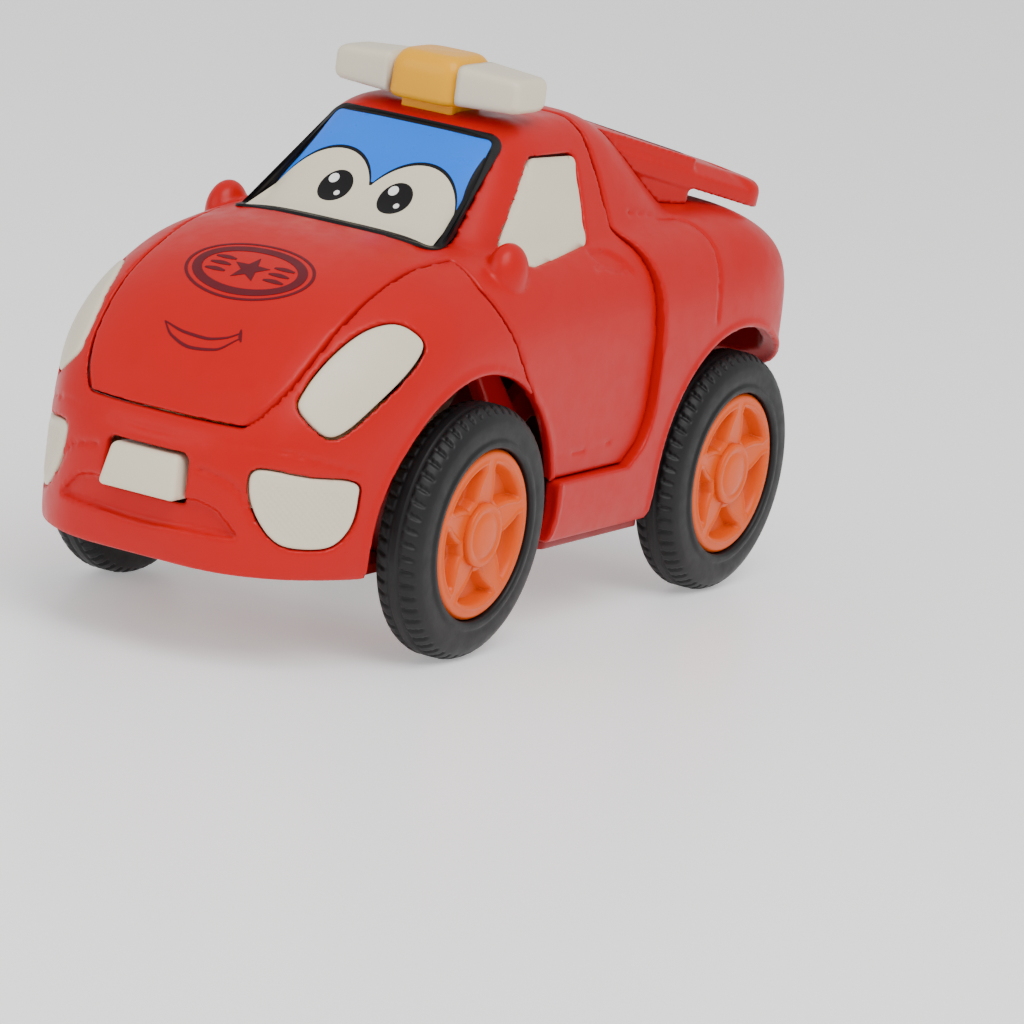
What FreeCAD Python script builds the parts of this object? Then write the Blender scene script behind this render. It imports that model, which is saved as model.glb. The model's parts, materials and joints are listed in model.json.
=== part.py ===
"""A pull-back toy car that unfolds into a robot, modelled as separate moulded pieces.

Frame: +X is the front of the car, +Y its left side and +Z up. The origin is on the ground
under the middle of the car. The car is modelled closed, as it drives.
"""
import FreeCAD, Part
import os
from math import cos, hypot, pi, radians, sin

V = FreeCAD.Vector
ACROSS = V(0, 1, 0)
FORWARD = V(1, 0, 0)

# Running gear
TYRE_R = 17.9
TYRE_OUT_Y = 31.0
TYRE_WIDTH = 7.8
RIM_OUT_Y = TYRE_OUT_Y - 0.4
AXLE_END_Y = RIM_OUT_Y - 1.6
RIM_R = 12.0
BEAD_R = 12.15
CAP_R = 4.5
AXLE_R = 1.25
FRONT_X = 24.6
REAR_X = -47.2
ARCH_R = 22.0

# Body shell
WALL = 1.6
SEAM = 0.4
ROOF_SEAM = 0.85
REAR_FLARE = 1.4
SHELL_BOTTOM = 13.4
SILL_TOP = 22.4
DOOR_FRONT_X = 3.0
SECTION_POWER = 3.2
SIDE_POWER = 6.0
WIDEST_SHARE = 0.48
ROOF_Z = 70.3

# Lift linkage: tower pivot, knee, hip and the hinge between front clip and cab
TOWER = V(-11.8, 0, 48.9)
ARM_LENGTH = 38.7
ARM_ANGLE = -44.0
LEG_LENGTH = 34.2
LEG_ANGLE = 134.0
HINGE = V(5.0, 0, 27.0)
PIVOT_R = 1.5
PIVOT_GAP = 0.06
BOSS_R = 3.6
LINK_WIDTH = 5.6
TOWER_Y = (2.8, 5.4)
ARM_Y = (6.0, 8.4)
LEG_Y = (9.0, 11.4)
CARRIER_Y = (12.0, 14.4)
CAB_LUG_Y = (17.6, 19.8)
CLIP_LUG_Y = (20.3, 22.6)

KNEE = TOWER + V(ARM_LENGTH * cos(radians(ARM_ANGLE)), 0, ARM_LENGTH * sin(radians(ARM_ANGLE)))
HIP = KNEE + V(LEG_LENGTH * cos(radians(LEG_ANGLE)), 0, LEG_LENGTH * sin(radians(LEG_ANGLE)))

# Gear train of the friction motor
MODULE = 0.6
AXLE_TEETH = 18
PINION_TEETH = 9
IDLER_TEETH = 18
SHAFT_R = 1.0
MESH_GAP = 0.06
AXLE_TO_IDLER = radians(35)
IDLER_TO_WHEEL = radians(40)
STAGE = MODULE * (AXLE_TEETH + PINION_TEETH) / 2 + MESH_GAP
IDLER_X = REAR_X + STAGE * cos(AXLE_TO_IDLER)
IDLER_Z = TYRE_R + STAGE * sin(AXLE_TO_IDLER)
FLYWHEEL_X = IDLER_X + STAGE * cos(IDLER_TO_WHEEL)
FLYWHEEL_Z = IDLER_Z + STAGE * sin(IDLER_TO_WHEEL)
FLYWHEEL_R = 6.6
GEARBOX = ((-55.4, -8.0, 13.3), (-26.2, 8.0, 36.2))
GEARBOX_WALL = 1.2

# Chassis, button and latch
PAN_Z = (11.6, 13.3)
SCREW_SPOTS = [(x, y) for x in (-16, 12) for y in (-12.5, 12.5)]
BUTTON_SLOT = ((40, -6.4, 21.8), (80, 6.4, 28.6))
STEM = ((51.0, -2.5, 23.6), (61.0, 2.5, 26.6))
LATCH_X = 45.2
LATCH_Z = 24.8

# Outlines of the lamps on the left, as points in space
HEADLIGHT = (
    (55.7, 17.8, 36.1), (54.0, 20.9, 33.0), (52.0, 23.1, 33.8), (47.5, 25.0, 37.6), (41.9, 26.0, 41.7),
    (37.8, 25.3, 44.4), (38.9, 24.0, 46.7), (41.2, 21.9, 47.5), (45.5, 20.0, 46.3), (50.7, 18.6, 43.0),
    (54.2, 17.5, 38.8),
)
FOG_LAMP = (
    (60.6, 15.6, 28.1), (55.4, 20.1, 27.6), (50.2, 24.6, 27.0), (49.6, 25.2, 24.6), (50.2, 24.8, 20.8),
    (52.4, 23.4, 18.2), (56.1, 20.8, 17.8), (58.8, 18.6, 18.6), (60.4, 16.4, 21.4), (61.2, 15.0, 25.2),
)

# Light bar and mirrors
LAMP_Y = (5.8, 15.2)
MIRROR = V(14.2, 23.2, 51.9)
SPOILER_UP = (-0.232, 0, 0.973)

# Lower body: distance forward, half width, underside height, top height
BODY_STATIONS = (
    (64.0, 6.0, 16.0, 29.5),
    (63.0, 11.3, 12.0, 31.8),
    (61.0, 15.6, 9.5, 34.4),
    (57.5, 19.8, 8.5, 39.2),
    (53.0, 23.0, 8.0, 44.0),
    (47.5, 25.8, 8.0, 48.4),
    (40.0, 27.6, 8.0, 52.2),
    (30.0, 28.3, 8.0, 55.0),
    (15.0, 28.3, 8.0, 56.2),
    (-5.0, 28.3, 8.0, 56.5),
    (-25.0, 28.3, 8.0, 57.0),
    (-42.0, 28.3, 9.0, 57.0),
    (-53.0, 28.1, 12.0, 56.2),
    (-60.0, 27.2, 17.0, 54.2),
    (-63.8, 24.8, 21.0, 51.5),
    (-65.6, 20.0, 25.0, 48.5),
)

# Cabin: height, rear end, front end, half width
CABIN_STATIONS = (
    (46.0, -50.0, 31.0, 24.0),
    (53.5, -45.0, 22.0, 22.0),
    (60.0, -37.0, 14.6, 19.4),
    (66.0, -29.5, 8.0, 16.6),
    (ROOF_Z, -23.0, 3.0, 14.2),
)

# Side view of the seam between cab and rear body, from the roof down to the sill
REAR_SEAM = (
    (-16.0, 72.0), (-17.1, 65.9), (-17.6, 60.6), (-17.6, 55.6), (-20.6, 52.2),
    (-22.3, 47.1), (-22.8, 39.0), (-22.7, 31.2), (-20.9, 25.8), (-16.8, SILL_TOP),
)
# Side view of the seam between door and front fender, from the shoulder down
DOOR_SEAM = (
    (22.6, 50.7), (20.3, 47.5), (17.4, 43.9), (14.6, 39.6), (11.2, 34.8), (8.6, 31.0), (6.0, 24.0),
)
# Top view of the bonnet's edge, from the nose back
BONNET_EDGE = (
    (66.0, 10.5), (60.3, 12.4), (58.0, 14.6), (54.3, 16.4), (47.6, 17.4), (32.2, 18.0), (22.6, 19.0),
)
BONNET_FRONT_Z = 33.0


def save(name, shape):
    shape.exportStep("parts/" + name + ".step")


def box(low, high):
    """A box between two opposite corners."""
    size = V(*high) - V(*low)
    return Part.makeBox(size.x, size.y, size.z, V(*low))


def rod(x, z, radius, low_y, high_y):
    """A cylinder lying across the car."""
    return Part.makeCylinder(radius, high_y - low_y, V(x, low_y, z), ACROSS)


def ring(x, z, outer, inner, low_y, high_y):
    """A tube lying across the car."""
    return rod(x, z, outer, low_y, high_y).cut(rod(x, z, inner, low_y - 1, high_y + 1))


def plate(points, low_y, high_y):
    """An upright plate with an outline in side view."""
    corners = [V(x, low_y, z) for x, z in points]
    outline = Part.makePolygon(corners + [corners[0]])
    return Part.Face(outline).extrude(V(0, high_y - low_y, 0))


def slab(points, low_z, high_z):
    """A level slab with an outline in top view."""
    corners = [V(x, y, low_z) for x, y in points]
    outline = Part.makePolygon(corners + [corners[0]])
    return Part.Face(outline).extrude(V(0, 0, high_z - low_z))


def mirrored(shape):
    return shape.mirror(V(0, 0, 0), ACROSS)


def both_sides(shape):
    """The shape and its twin on the other side of the car, joined."""
    return shape.fuse(mirrored(shape))


def joined(first, *others):
    """One solid out of shapes that overlap."""
    return first.fuse(list(others)).removeSplitter()


def rounded(shape, radius, keep=lambda edge: True):
    """Round the edges for which keep is true."""
    edges = [edge for edge in shape.Edges if keep(edge)]
    return shape.makeFillet(radius, edges)


def upright(edge):
    """True for a straight edge that stands up."""
    ends = edge.Vertexes
    return len(ends) == 2 and hypot(ends[0].X - ends[1].X, ends[0].Y - ends[1].Y) < 0.01


def crosswise(edge):
    """True for a straight edge that lies across the car."""
    ends = edge.Vertexes
    return len(ends) == 2 and hypot(ends[0].X - ends[1].X, ends[0].Z - ends[1].Z) < 0.01


def lengthwise(edge):
    """True for a straight edge that runs front to back."""
    ends = edge.Vertexes
    return len(ends) == 2 and hypot(ends[0].Y - ends[1].Y, ends[0].Z - ends[1].Z) < 0.01


def oval(half_a, half_b, high_power, low_power=None, count=36):
    """Points of a closed curve between an ellipse and a rectangle."""
    low_power = low_power or high_power
    points = []
    for i in range(count):
        a = 2 * pi * (i + 0.5) / count
        c = cos(a)
        s = sin(a)
        power = high_power if s > 0 else low_power
        u = half_a * abs(c) ** (2 / power) * (1 if c > 0 else -1)
        v = half_b * abs(s) ** (2 / power) * (1 if s > 0 else -1)
        points.append((u, v))
    return points


def closed_curve(points):
    curve = Part.BSplineCurve()
    curve.interpolate(Points=points, PeriodicFlag=True)
    return Part.Wire([curve.toShape()])


def lower_body(inset, drop, flare=0.0):
    """The lower body's skin, moved inwards by inset, down at the underside by drop and out by flare."""
    length = BODY_STATIONS[0][0] - BODY_STATIONS[-1][0]
    centre = BODY_STATIONS[0][0] - length / 2
    squeeze = 1 - 2 * inset / length
    wires = []
    for x, half_width, low, high in BODY_STATIONS:
        top = high - inset
        bottom = low + inset - drop
        middle = bottom + (top - bottom) * WIDEST_SHARE
        place = centre + (x - centre) * squeeze
        ends = oval(half_width + flare - inset, 1.0, SECTION_POWER, SIDE_POWER)
        section = [(y, middle + z * (top - middle if z > 0 else middle - bottom)) for y, z in ends]
        wires.append(closed_curve([V(place, y, z) for y, z in section]))
    return Part.makeLoft(wires, True, False)


def cabin(inset):
    """The cabin's skin, moved inwards by inset."""
    wires = []
    for z, rear, front, half_width in CABIN_STATIONS:
        half_length = (front - rear) / 2 - inset * 1.3
        middle = (front + rear) / 2
        height = z - inset
        ends = oval(half_length, half_width - inset, 4.6)
        wires.append(closed_curve([V(middle + x, y, height) for x, y in ends]))
    return Part.makeLoft(wires, True, False)


def body_outside(flare):
    """The whole outer form of the car body, before it is hollowed and divided."""
    top = cabin(0)
    top = rounded(top, 2.6, lambda edge: edge.BoundBox.ZMin > ROOF_Z - 0.1)
    return lower_body(0, 0, flare).fuse(top)


def body_inside(flare):
    """The hollow inside the body, open at the underside."""
    return lower_body(WALL, 12, flare).fuse(cabin(WALL))


def wheel_arches(radius):
    front = rod(FRONT_X, TYRE_R, radius, -40, 40)
    rear = rod(REAR_X, TYRE_R, radius, -40, 40)
    return front.fuse(rear)


def smooth_points(points, count):
    """Evenly spread points on a smooth curve through a few given ones."""
    curve = Part.BSplineCurve()
    curve.interpolate([V(x, 0, z) for x, z in points])
    return [(p.x, p.z) for p in curve.toShape().discretize(Number=count)]


def shell_region(points, gap):
    """A prism across the car over a side outline, grown by gap."""
    wire = Part.makePolygon([V(x, 0, z) for x, z in points] + [V(points[0][0], 0, points[0][1])])
    face = Part.Face(wire)
    if gap:
        face = face.makeOffset2D(gap)
        face = Part.Face(face.Wires[0]) if face.ShapeType != "Face" else face
    face.translate(V(0, -45, 0))
    return face.extrude(V(0, 90, 0))


def rear_region(gap):
    seam = smooth_points(REAR_SEAM[:4], 10)[:-1] + smooth_points(REAR_SEAM[3:], 22)
    ends = [(DOOR_FRONT_X, SILL_TOP), (DOOR_FRONT_X, 0), (-80, 0), (-80, 90), (-20.5, 90)]
    return shell_region(seam + ends, gap)


def clip_region(gap):
    """The space of the front clip: ahead of the door seam, less the bonnet."""
    seam = [(DOOR_SEAM[0][0], 90)] + smooth_points(DOOR_SEAM, 16)
    side = shell_region(seam + [(6.0, 0), (80, 0), (80, 90)], gap)
    edge = [(x, y - gap) for x, y in BONNET_EDGE]
    edge.append((-20, edge[-1][1]))
    bonnet = slab(edge + [(x, -y) for x, y in reversed(edge)], BONNET_FRONT_Z + gap, 90)
    return side.cut(bonnet)


def body_skin(flare):
    """The hollow body with its wheel arches, open underneath."""
    skin = body_outside(flare).cut(body_inside(flare))
    skin = skin.cut(box((-80, -40, -20), (80, 40, SHELL_BOTTOM)))
    return skin.cut(wheel_arches(ARCH_R))


def body_shells():
    """The body divided into rear body, front clip and cab shell."""
    rear = body_skin(REAR_FLARE).common(rear_region(0))
    skin = body_skin(0)
    clip = skin.common(clip_region(0))
    cab = skin.cut(rear_region(SEAM)).cut(clip_region(SEAM))
    cab = cab.cut(rear_region(ROOF_SEAM).common(box((-80, -40, 58), (80, 40, 90))))
    return rear, clip, cab


def surface_piece(outer, inner, cutter):
    """A piece of the body's skin between two offset forms, cut out by a prism."""
    return outer.cut(inner).common(cutter)


def prism(points, direction, depth):
    """A straight prism along a direction, through an outline seen along it."""
    aim = V(*direction).normalize()
    step = aim * depth
    level = V(*points[0]).dot(aim)
    base = [V(*p) + aim * (level - V(*p).dot(aim)) - step for p in points]
    return Part.Face(Part.makePolygon(base + [base[0]])).extrude(step * 2)


def curved_prism(points, direction, depth, grow):
    """A straight prism through a smooth closed outline, grown about its middle."""
    aim = V(*direction).normalize()
    corners = [V(*p) for p in points]
    middle = sum(corners, V()) * (1 / len(corners))
    outline = []
    for corner in corners:
        spoke = corner - middle
        spoke = spoke - aim * spoke.dot(aim)
        outline.append(middle - aim * depth + spoke * (1 + grow / spoke.Length))
    return Part.Face(closed_curve(outline)).extrude(aim * depth * 2)


def headlight_cutter(grow):
    return curved_prism(HEADLIGHT, (0.62, 0.52, 0.58), 9, grow)


def fog_cutter(grow):
    return curved_prism(FOG_LAMP, (0.75, 0.66, 0), 8, grow)


def windscreen_cutter(grow):
    corners = [(21.4, 16.2 + grow, 52.8 - grow), (21.4, -16.2 - grow, 52.8 - grow),
               (4.0, -13.4 - grow, 68.5 + grow), (4.0, 13.4 + grow, 68.5 + grow)]
    return prism(corners, (0.68, 0, 0.73), 5)


def side_window_outline(grow):
    return ((12.2 + grow, 54.8), (7.6 + grow, 52.4 - grow), (0.5, 53.0 - grow), (-9.8 - grow, 54.0 - grow),
            (-12.2 - grow, 65.6 + grow), (-0.4 + grow, 66.0 + grow))


def side_window_cutter(grow):
    return plate(side_window_outline(grow), 8, 34)


def boss_link(first, second, radius, bore_first, bore_second, low_y, high_y):
    """A flat link with a round boss at each end and a bore through each boss."""
    along = second - first
    normal = V(-along.z, 0, along.x).normalize() * (LINK_WIDTH / 2)
    corners = [first + normal, second + normal, second - normal, first - normal]
    bar = plate([(p.x, p.z) for p in corners], low_y, high_y)
    bosses = [rod(p.x, p.z, radius, low_y, high_y) for p in (first, second)]
    link = joined(bar, *bosses)
    link = link.cut(rod(first.x, first.z, bore_first, low_y - 1, high_y + 1))
    return link.cut(rod(second.x, second.z, bore_second, low_y - 1, high_y + 1))


def gear(x, z, teeth, phase, low_y, high_y):
    """A spur gear with a tooth centred on the phase angle."""
    pitch_r = MODULE * teeth / 2
    root_r = pitch_r - 1.2 * MODULE
    tip_r = pitch_r + 0.9 * MODULE
    step = 2 * pi / teeth
    points = []
    for i in range(teeth):
        for share, radius in ((-0.32, root_r), (-0.10, tip_r), (0.10, tip_r), (0.32, root_r)):
            a = phase + (i + share) * step
            points.append((x + radius * cos(a), z + radius * sin(a)))
    return plate(points, low_y, high_y)


def save_wheels():
    for end, x in (("front", FRONT_X), ("rear", REAR_X)):
        for side, turn in (("left", False), ("right", True)):
            inner_y = TYRE_OUT_Y - TYRE_WIDTH
            tyre = ring(x, TYRE_R, TYRE_R, BEAD_R, inner_y, TYRE_OUT_Y)
            tyre = rounded(tyre, 1.8, lambda edge: abs(edge.Curve.Radius - TYRE_R) < 0.1
                           if hasattr(edge.Curve, "Radius") else False)
            rim = rim_solid(x)
            cap = rod(x, TYRE_R, CAP_R, RIM_OUT_Y, RIM_OUT_Y + 0.7)
            cap = rounded(cap, 0.4, lambda edge: edge.BoundBox.YMin > RIM_OUT_Y + 0.6)
            for name, shape in (("tyre", tyre), ("rim", rim), ("hub_cap", cap)):
                save("_".join((end, side, name)), mirrored(shape) if turn else shape)
    save("front_axle", rod(FRONT_X, TYRE_R, AXLE_R, -AXLE_END_Y, AXLE_END_Y))
    save("rear_axle", rod(REAR_X, TYRE_R, AXLE_R, -AXLE_END_Y, AXLE_END_Y))


def rim_solid(x):
    """A dished wheel centre with five three-cornered pockets."""
    rim = rod(x, TYRE_R, RIM_R, TYRE_OUT_Y - TYRE_WIDTH + 0.4, RIM_OUT_Y)
    rim = rounded(rim, 0.8, lambda edge: edge.BoundBox.YMin > RIM_OUT_Y - 0.1)
    for i in range(5):
        a = -pi / 2 + 2 * pi * i / 5
        corners = [(5.2, 0.12), (9.8, 0.46), (9.8, -0.46), (5.2, -0.12)]
        outline = [(x + r * cos(a + s), TYRE_R + r * sin(a + s)) for r, s in corners]
        rim = rim.cut(plate(outline, RIM_OUT_Y - 2.2, RIM_OUT_Y + 1))
    return rim.cut(rod(x, TYRE_R, AXLE_R, 20, AXLE_END_Y))


def save_gear_train():
    axle_phase = AXLE_TO_IDLER
    pinion_phase = AXLE_TO_IDLER + pi + pi / PINION_TEETH
    save("rear_axle_gear", gear(REAR_X, TYRE_R, AXLE_TEETH, axle_phase, -4.5, -1.5).cut(
        rod(REAR_X, TYRE_R, AXLE_R, -5, 0)))
    shaft = rod(IDLER_X, IDLER_Z, SHAFT_R, -7.8, 7.8)
    pinion = gear(IDLER_X, IDLER_Z, PINION_TEETH, pinion_phase, -5.0, 0.2)
    wheel = gear(IDLER_X, IDLER_Z, IDLER_TEETH, IDLER_TO_WHEEL, 0.0, 2.4)
    save("idler_gear", joined(shaft, pinion, wheel))
    last_phase = IDLER_TO_WHEEL + pi + pi / PINION_TEETH
    pinion = gear(FLYWHEEL_X, FLYWHEEL_Z, PINION_TEETH, last_phase, -0.4, 2.9)
    shaft = rod(FLYWHEEL_X, FLYWHEEL_Z, SHAFT_R, -7.8, 7.8)
    save("flywheel_pinion", joined(shaft, pinion))
    disc = ring(FLYWHEEL_X, FLYWHEEL_Z, FLYWHEEL_R, SHAFT_R, 3.2, 6.2)
    save("flywheel", disc)


def save_gearbox():
    low, high = GEARBOX
    t = GEARBOX_WALL
    hollow = box((low[0] + t, low[1] + t, low[2] - 5), (high[0] - t, high[1] - t, high[2] - t))
    case = box(low, high).cut(hollow)
    case = case.cut(rod(REAR_X, TYRE_R, AXLE_R + PIVOT_GAP, -20, 20))
    for x, z in ((IDLER_X, IDLER_Z), (FLYWHEEL_X, FLYWHEEL_Z)):
        case = case.cut(rod(x, z, SHAFT_R + PIVOT_GAP, -20, 20))
    save("gearbox_left", case.common(box((-80, 0, 0), (80, 40, 80))))
    save("gearbox_right", case.common(box((-80, -40, 0), (80, 0, 80))))


def save_chassis():
    pan = box((-57, -20.4, PAN_Z[0]), (44, 20.4, PAN_Z[1]))
    pan = rounded(pan, 4, upright)
    ledge = box((-27, -27.2, PAN_Z[0] + 0.3), (2.4, 27.2, PAN_Z[1]))
    pan = pan.fuse(rounded(ledge, 2, upright))
    for low_y, high_y in ((-20.4, -12.0), (12.0, 20.4)):
        pan = pan.fuse(box((REAR_X - 4, low_y, PAN_Z[0]), (REAR_X + 4, high_y, 22.5)))
    pan = pan.cut(box((REAR_X - 6.6, -5, 5), (REAR_X + 6.6, -1, 20)))
    pan = pan.cut(rod(REAR_X, TYRE_R, AXLE_R + PIVOT_GAP, -30, 30))
    for x, y in SCREW_SPOTS:
        pan = pan.cut(Part.makeCylinder(1.15, 10, V(x, y, 5)))
    save("chassis_pan", pan.removeSplitter())
    block = box((22.7, -20.0, PAN_Z[1]), (31.0, 20.0, 23.4))
    block = rounded(block, 1.2, crosswise)
    keeper = box((30.0, -4.0, 20.8), (33.0, 4.0, 23.0))
    block = block.fuse(keeper).cut(rod(FRONT_X, TYRE_R, AXLE_R + PIVOT_GAP, -30, 30))
    save("front_axle_block", block)
    cover = rounded(box((-21, -17, 10.0), (17, 17, PAN_Z[0] - 0.02)), 3, upright)
    screws = []
    for x, y in SCREW_SPOTS:
        cover = cover.cut(Part.makeCylinder(1.15, 5, V(x, y, 8)))
        cover = cover.cut(Part.makeCylinder(2.1, 3, V(x, y, 8)))
        head = Part.makeCylinder(2.0, 0.7, V(x, y, 10.2))
        head = head.cut(box((x - 1.5, y - 0.3, 10), (x + 1.5, y + 0.3, 10.5)))
        screws.append(head.fuse(Part.makeCylinder(1.0, 4.0, V(x, y, 10.8))))
    save("bottom_cover", cover)
    save("bottom_cover_screws", Part.makeCompound(screws))
    bulkhead = box((-25.8, -19.0, PAN_Z[1]), (-24.5, 19.0, 56.0))
    save("inner_bulkhead", rounded(bulkhead, 5, lambda e: lengthwise(e) and e.BoundBox.ZMin > 50))


def save_tower():
    top = (TOWER.x, TOWER.z)
    outline = [(-22.0, PAN_Z[1]), (-3.0, PAN_Z[1]), (top[0] + 4.2, top[1]), (top[0] - 4.2, top[1])]
    cheek = joined(plate(outline, *TOWER_Y), rod(top[0], top[1], 4.2, *TOWER_Y))
    tower = both_sides(cheek).fuse(box((-22.0, -3.5, PAN_Z[1]), (-3.0, 3.5, 15.3)))
    tower = tower.cut(rod(top[0], top[1], PIVOT_R, -20, 20))
    save("lift_tower", tower.removeSplitter())
    save("tower_pin", rod(top[0], top[1], PIVOT_R, -8.6, 8.6))
    coil = Part.makeHelix(0.9, 4.5, 2.4)
    wire_section = Part.Wire([Part.makeCircle(0.35, V(2.4, 0, 0), ACROSS)])
    spring = Part.Wire(coil.Edges).makePipeShell([wire_section], True, True)
    spring.rotate(V(0, 0, 0), FORWARD, -90)
    spring.translate(V(top[0], -2.25, top[1]))
    save("lift_spring", spring)


def save_links():
    running = PIVOT_R + PIVOT_GAP
    arm = boss_link(TOWER, KNEE, BOSS_R, running, running, *ARM_Y)
    bar_place = TOWER + (KNEE - TOWER) * 0.6
    arm = both_sides(arm).fuse(rod(bar_place.x, bar_place.z, 1.9, -ARM_Y[0] - 0.5, ARM_Y[0] + 0.5))
    save("lift_arm", arm.removeSplitter())
    leg = boss_link(KNEE, HIP, BOSS_R, PIVOT_R, PIVOT_R, *LEG_Y)
    save("leg_left", leg)
    save("leg_right", mirrored(leg))
    save("knee_pin", rod(KNEE.x, KNEE.z, PIVOT_R, -LEG_Y[1], LEG_Y[1]))
    hip = rod(HIP.x, HIP.z, PIVOT_R, LEG_Y[0], CARRIER_Y[1] + 0.3)
    save("hip_pins", Part.makeCompound([hip, mirrored(hip)]))


def save_clip(clip):
    """The front end of the car: fenders, lamps, bumper and the frame behind them."""
    outer = lower_body(-0.45, 0)
    inner = lower_body(WALL + 0.05, 12)
    for maker, name in ((headlight_cutter, "headlight"), (fog_cutter, "fog_lamp")):
        hole = maker(0.12)
        clip = clip.cut(hole).cut(mirrored(hole))
        lamp = surface_piece(outer, inner, maker(0)).common(clip_region(-0.2))
        save(name + "_left", lamp)
        save(name + "_right", mirrored(lamp))
    clip = clip.cut(box(*BUTTON_SLOT))
    lug = plate([(3.0, 24.8), (5.0, 24.0), (7.4, 25.2), (20.0, 40.4), (23.0, 40.4), (23.0, 43.8),
                 (17.8, 43.8), (3.2, 29.4)], *CLIP_LUG_Y)
    lug = lug.fuse(rod(HINGE.x, HINGE.z, 3.0, *CLIP_LUG_Y))
    lug = lug.fuse(box((19.0, CLIP_LUG_Y[0], 40.4), (23.0, 27.4, 43.8)))
    lug = lug.cut(rod(HINGE.x, HINGE.z, PIVOT_R + PIVOT_GAP, 10, 30))
    clip = clip.fuse(lug).fuse(mirrored(lug))
    save("front_clip", clip.removeSplitter())
    path = ((HIP.x, HIP.z), (13.0, 34.2), (31.0, 28.6), (53.0, 25.2))
    side = None
    for (x1, z1), (x2, z2) in zip(path, path[1:]):
        run = V(x2 - x1, 0, z2 - z1)
        n = V(-run.z, 0, run.x).normalize() * 2.2
        corners = [(x1 + n.x, z1 + n.z), (x2 + n.x, z2 + n.z), (x2 - n.x, z2 - n.z), (x1 - n.x, z1 - n.z)]
        bar = plate(corners, *CARRIER_Y)
        knob = rod(x2, z2, 2.2, *CARRIER_Y)
        side = bar.fuse(knob) if side is None else side.fuse(bar).fuse(knob)
    side = side.fuse(rod(HIP.x, HIP.z, BOSS_R, *CARRIER_Y))
    side = side.cut(rod(HIP.x, HIP.z, PIVOT_R + PIVOT_GAP, 5, 20))
    cross = box((50.5, -14.4, 21.5), (55.5, 14.4, 28.5))
    stem_low, stem_high = STEM
    guide = box((45, stem_low[1] - 0.3, stem_low[2] - 0.3), (60, stem_high[1] + 0.3, stem_high[2] + 0.3))
    cross = cross.cut(guide)
    carrier = both_sides(side).fuse(cross)
    for y in (-9.5, 9.5):
        post = Part.makeCylinder(1.8, 8.0, V(55.4, y, 25.0), FORWARD)
        carrier = carrier.fuse(post.common(inner))
    ears = box((43.0, 3.0, 21.8), (51.0, 4.6, 27.6))
    carrier = carrier.fuse(both_sides(ears))
    carrier = carrier.cut(rod(LATCH_X, LATCH_Z, 1.0, -10, 10))
    save("clip_carrier", carrier.removeSplitter())


def save_latch():
    wires = []
    for z, half_width, front in ((22.2, 6.3, 65.9), (28.2, 5.3, 64.6)):
        ends = [(58, -half_width), (58, half_width), (front, half_width), (front, -half_width)]
        corners = [V(x, y, z) for x, y in ends]
        wires.append(Part.makePolygon(corners + [corners[0]]))
    face = rounded(Part.makeLoft(wires, True, True), 0.8)
    save("impact_button", joined(face, box(*STEM)))
    outline = [(47.4, 23.0), (47.4, 26.4), (43.0, 26.4), (34.6, 24.4), (34.2, 20.4), (36.4, 20.4)]
    outline.append((37.4, 22.6))
    hook = plate(outline, -2.6, 2.6)
    hook = hook.cut(rod(LATCH_X, LATCH_Z, 1.06, -10, 10))
    save("latch_hook", hook)
    save("latch_pin", rod(LATCH_X, LATCH_Z, 1.0, -4.6, 4.6))


def save_cab(cab):
    panel = windscreen_cutter(0)
    cab = cab.cut(windscreen_cutter(0.12).cut(cabin(0.9)))
    save("windscreen", surface_piece(cabin(-0.2), cabin(0.8), panel))
    for side in ("left", "right"):
        turn = mirrored if side == "right" else (lambda shape: shape)
        cab = cab.cut(turn(side_window_cutter(0.12).cut(cabin(0.9))))
        window = surface_piece(cabin(-0.25), cabin(0.8), side_window_cutter(0))
        save("side_window_" + side, turn(window))
    outline = [(5.0, 24.0), (5.0, 30.0), (-4.0, 35.6), (-9.0, 35.6), (-9.0, 29.0), (-4.0, 29.0)]
    lug = plate(outline, *CAB_LUG_Y)
    lug = lug.fuse(rod(HINGE.x, HINGE.z, 3.0, *CAB_LUG_Y))
    lug = lug.fuse(box((-9.0, CAB_LUG_Y[0], 29.0), (-5.0, 27.0, 35.0)))
    lug = lug.cut(rod(HINGE.x, HINGE.z, PIVOT_R, 10, 30))
    squash = FreeCAD.Matrix()
    squash.scale(1.0, 0.7, 1.15)
    mirror = Part.makeSphere(3.9).transformGeometry(squash)
    mirror.translate(MIRROR)
    cab = cab.fuse(lug).fuse(mirrored(lug)).fuse(mirror).fuse(mirrored(mirror))
    save("cab_shell", cab)
    pin = rod(HINGE.x, HINGE.z, PIVOT_R, CAB_LUG_Y[0], CLIP_LUG_Y[1])
    save("hinge_pins", Part.makeCompound([pin, mirrored(pin)]))


def save_light_bar():
    base = rounded(box((-7.0, -LAMP_Y[0], 71.2), (4.6, LAMP_Y[0], 78.2)), 1.6)
    foot = box((-6.0, -LAMP_Y[0] + 1.5, ROOF_Z), (2.0, LAMP_Y[0] - 1.5, 72.5))
    save("light_bar_base", joined(base, foot))
    wires = []
    sections = ((LAMP_Y[0], -6.4, 4.4, 71.4, 77.4), (LAMP_Y[1], -5.4, 3.4, 71.9, 76.7))
    for y, rear, front, low, high in sections:
        ends = [V(front, y, low), V(rear, y, low), V(rear, y, high), V(front, y, high)]
        wires.append(Part.makePolygon(ends + [ends[0]]))
    lamp = Part.makeLoft(wires, True, True)
    save("light_lens_left", lamp)
    save("light_lens_right", mirrored(lamp))


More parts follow.
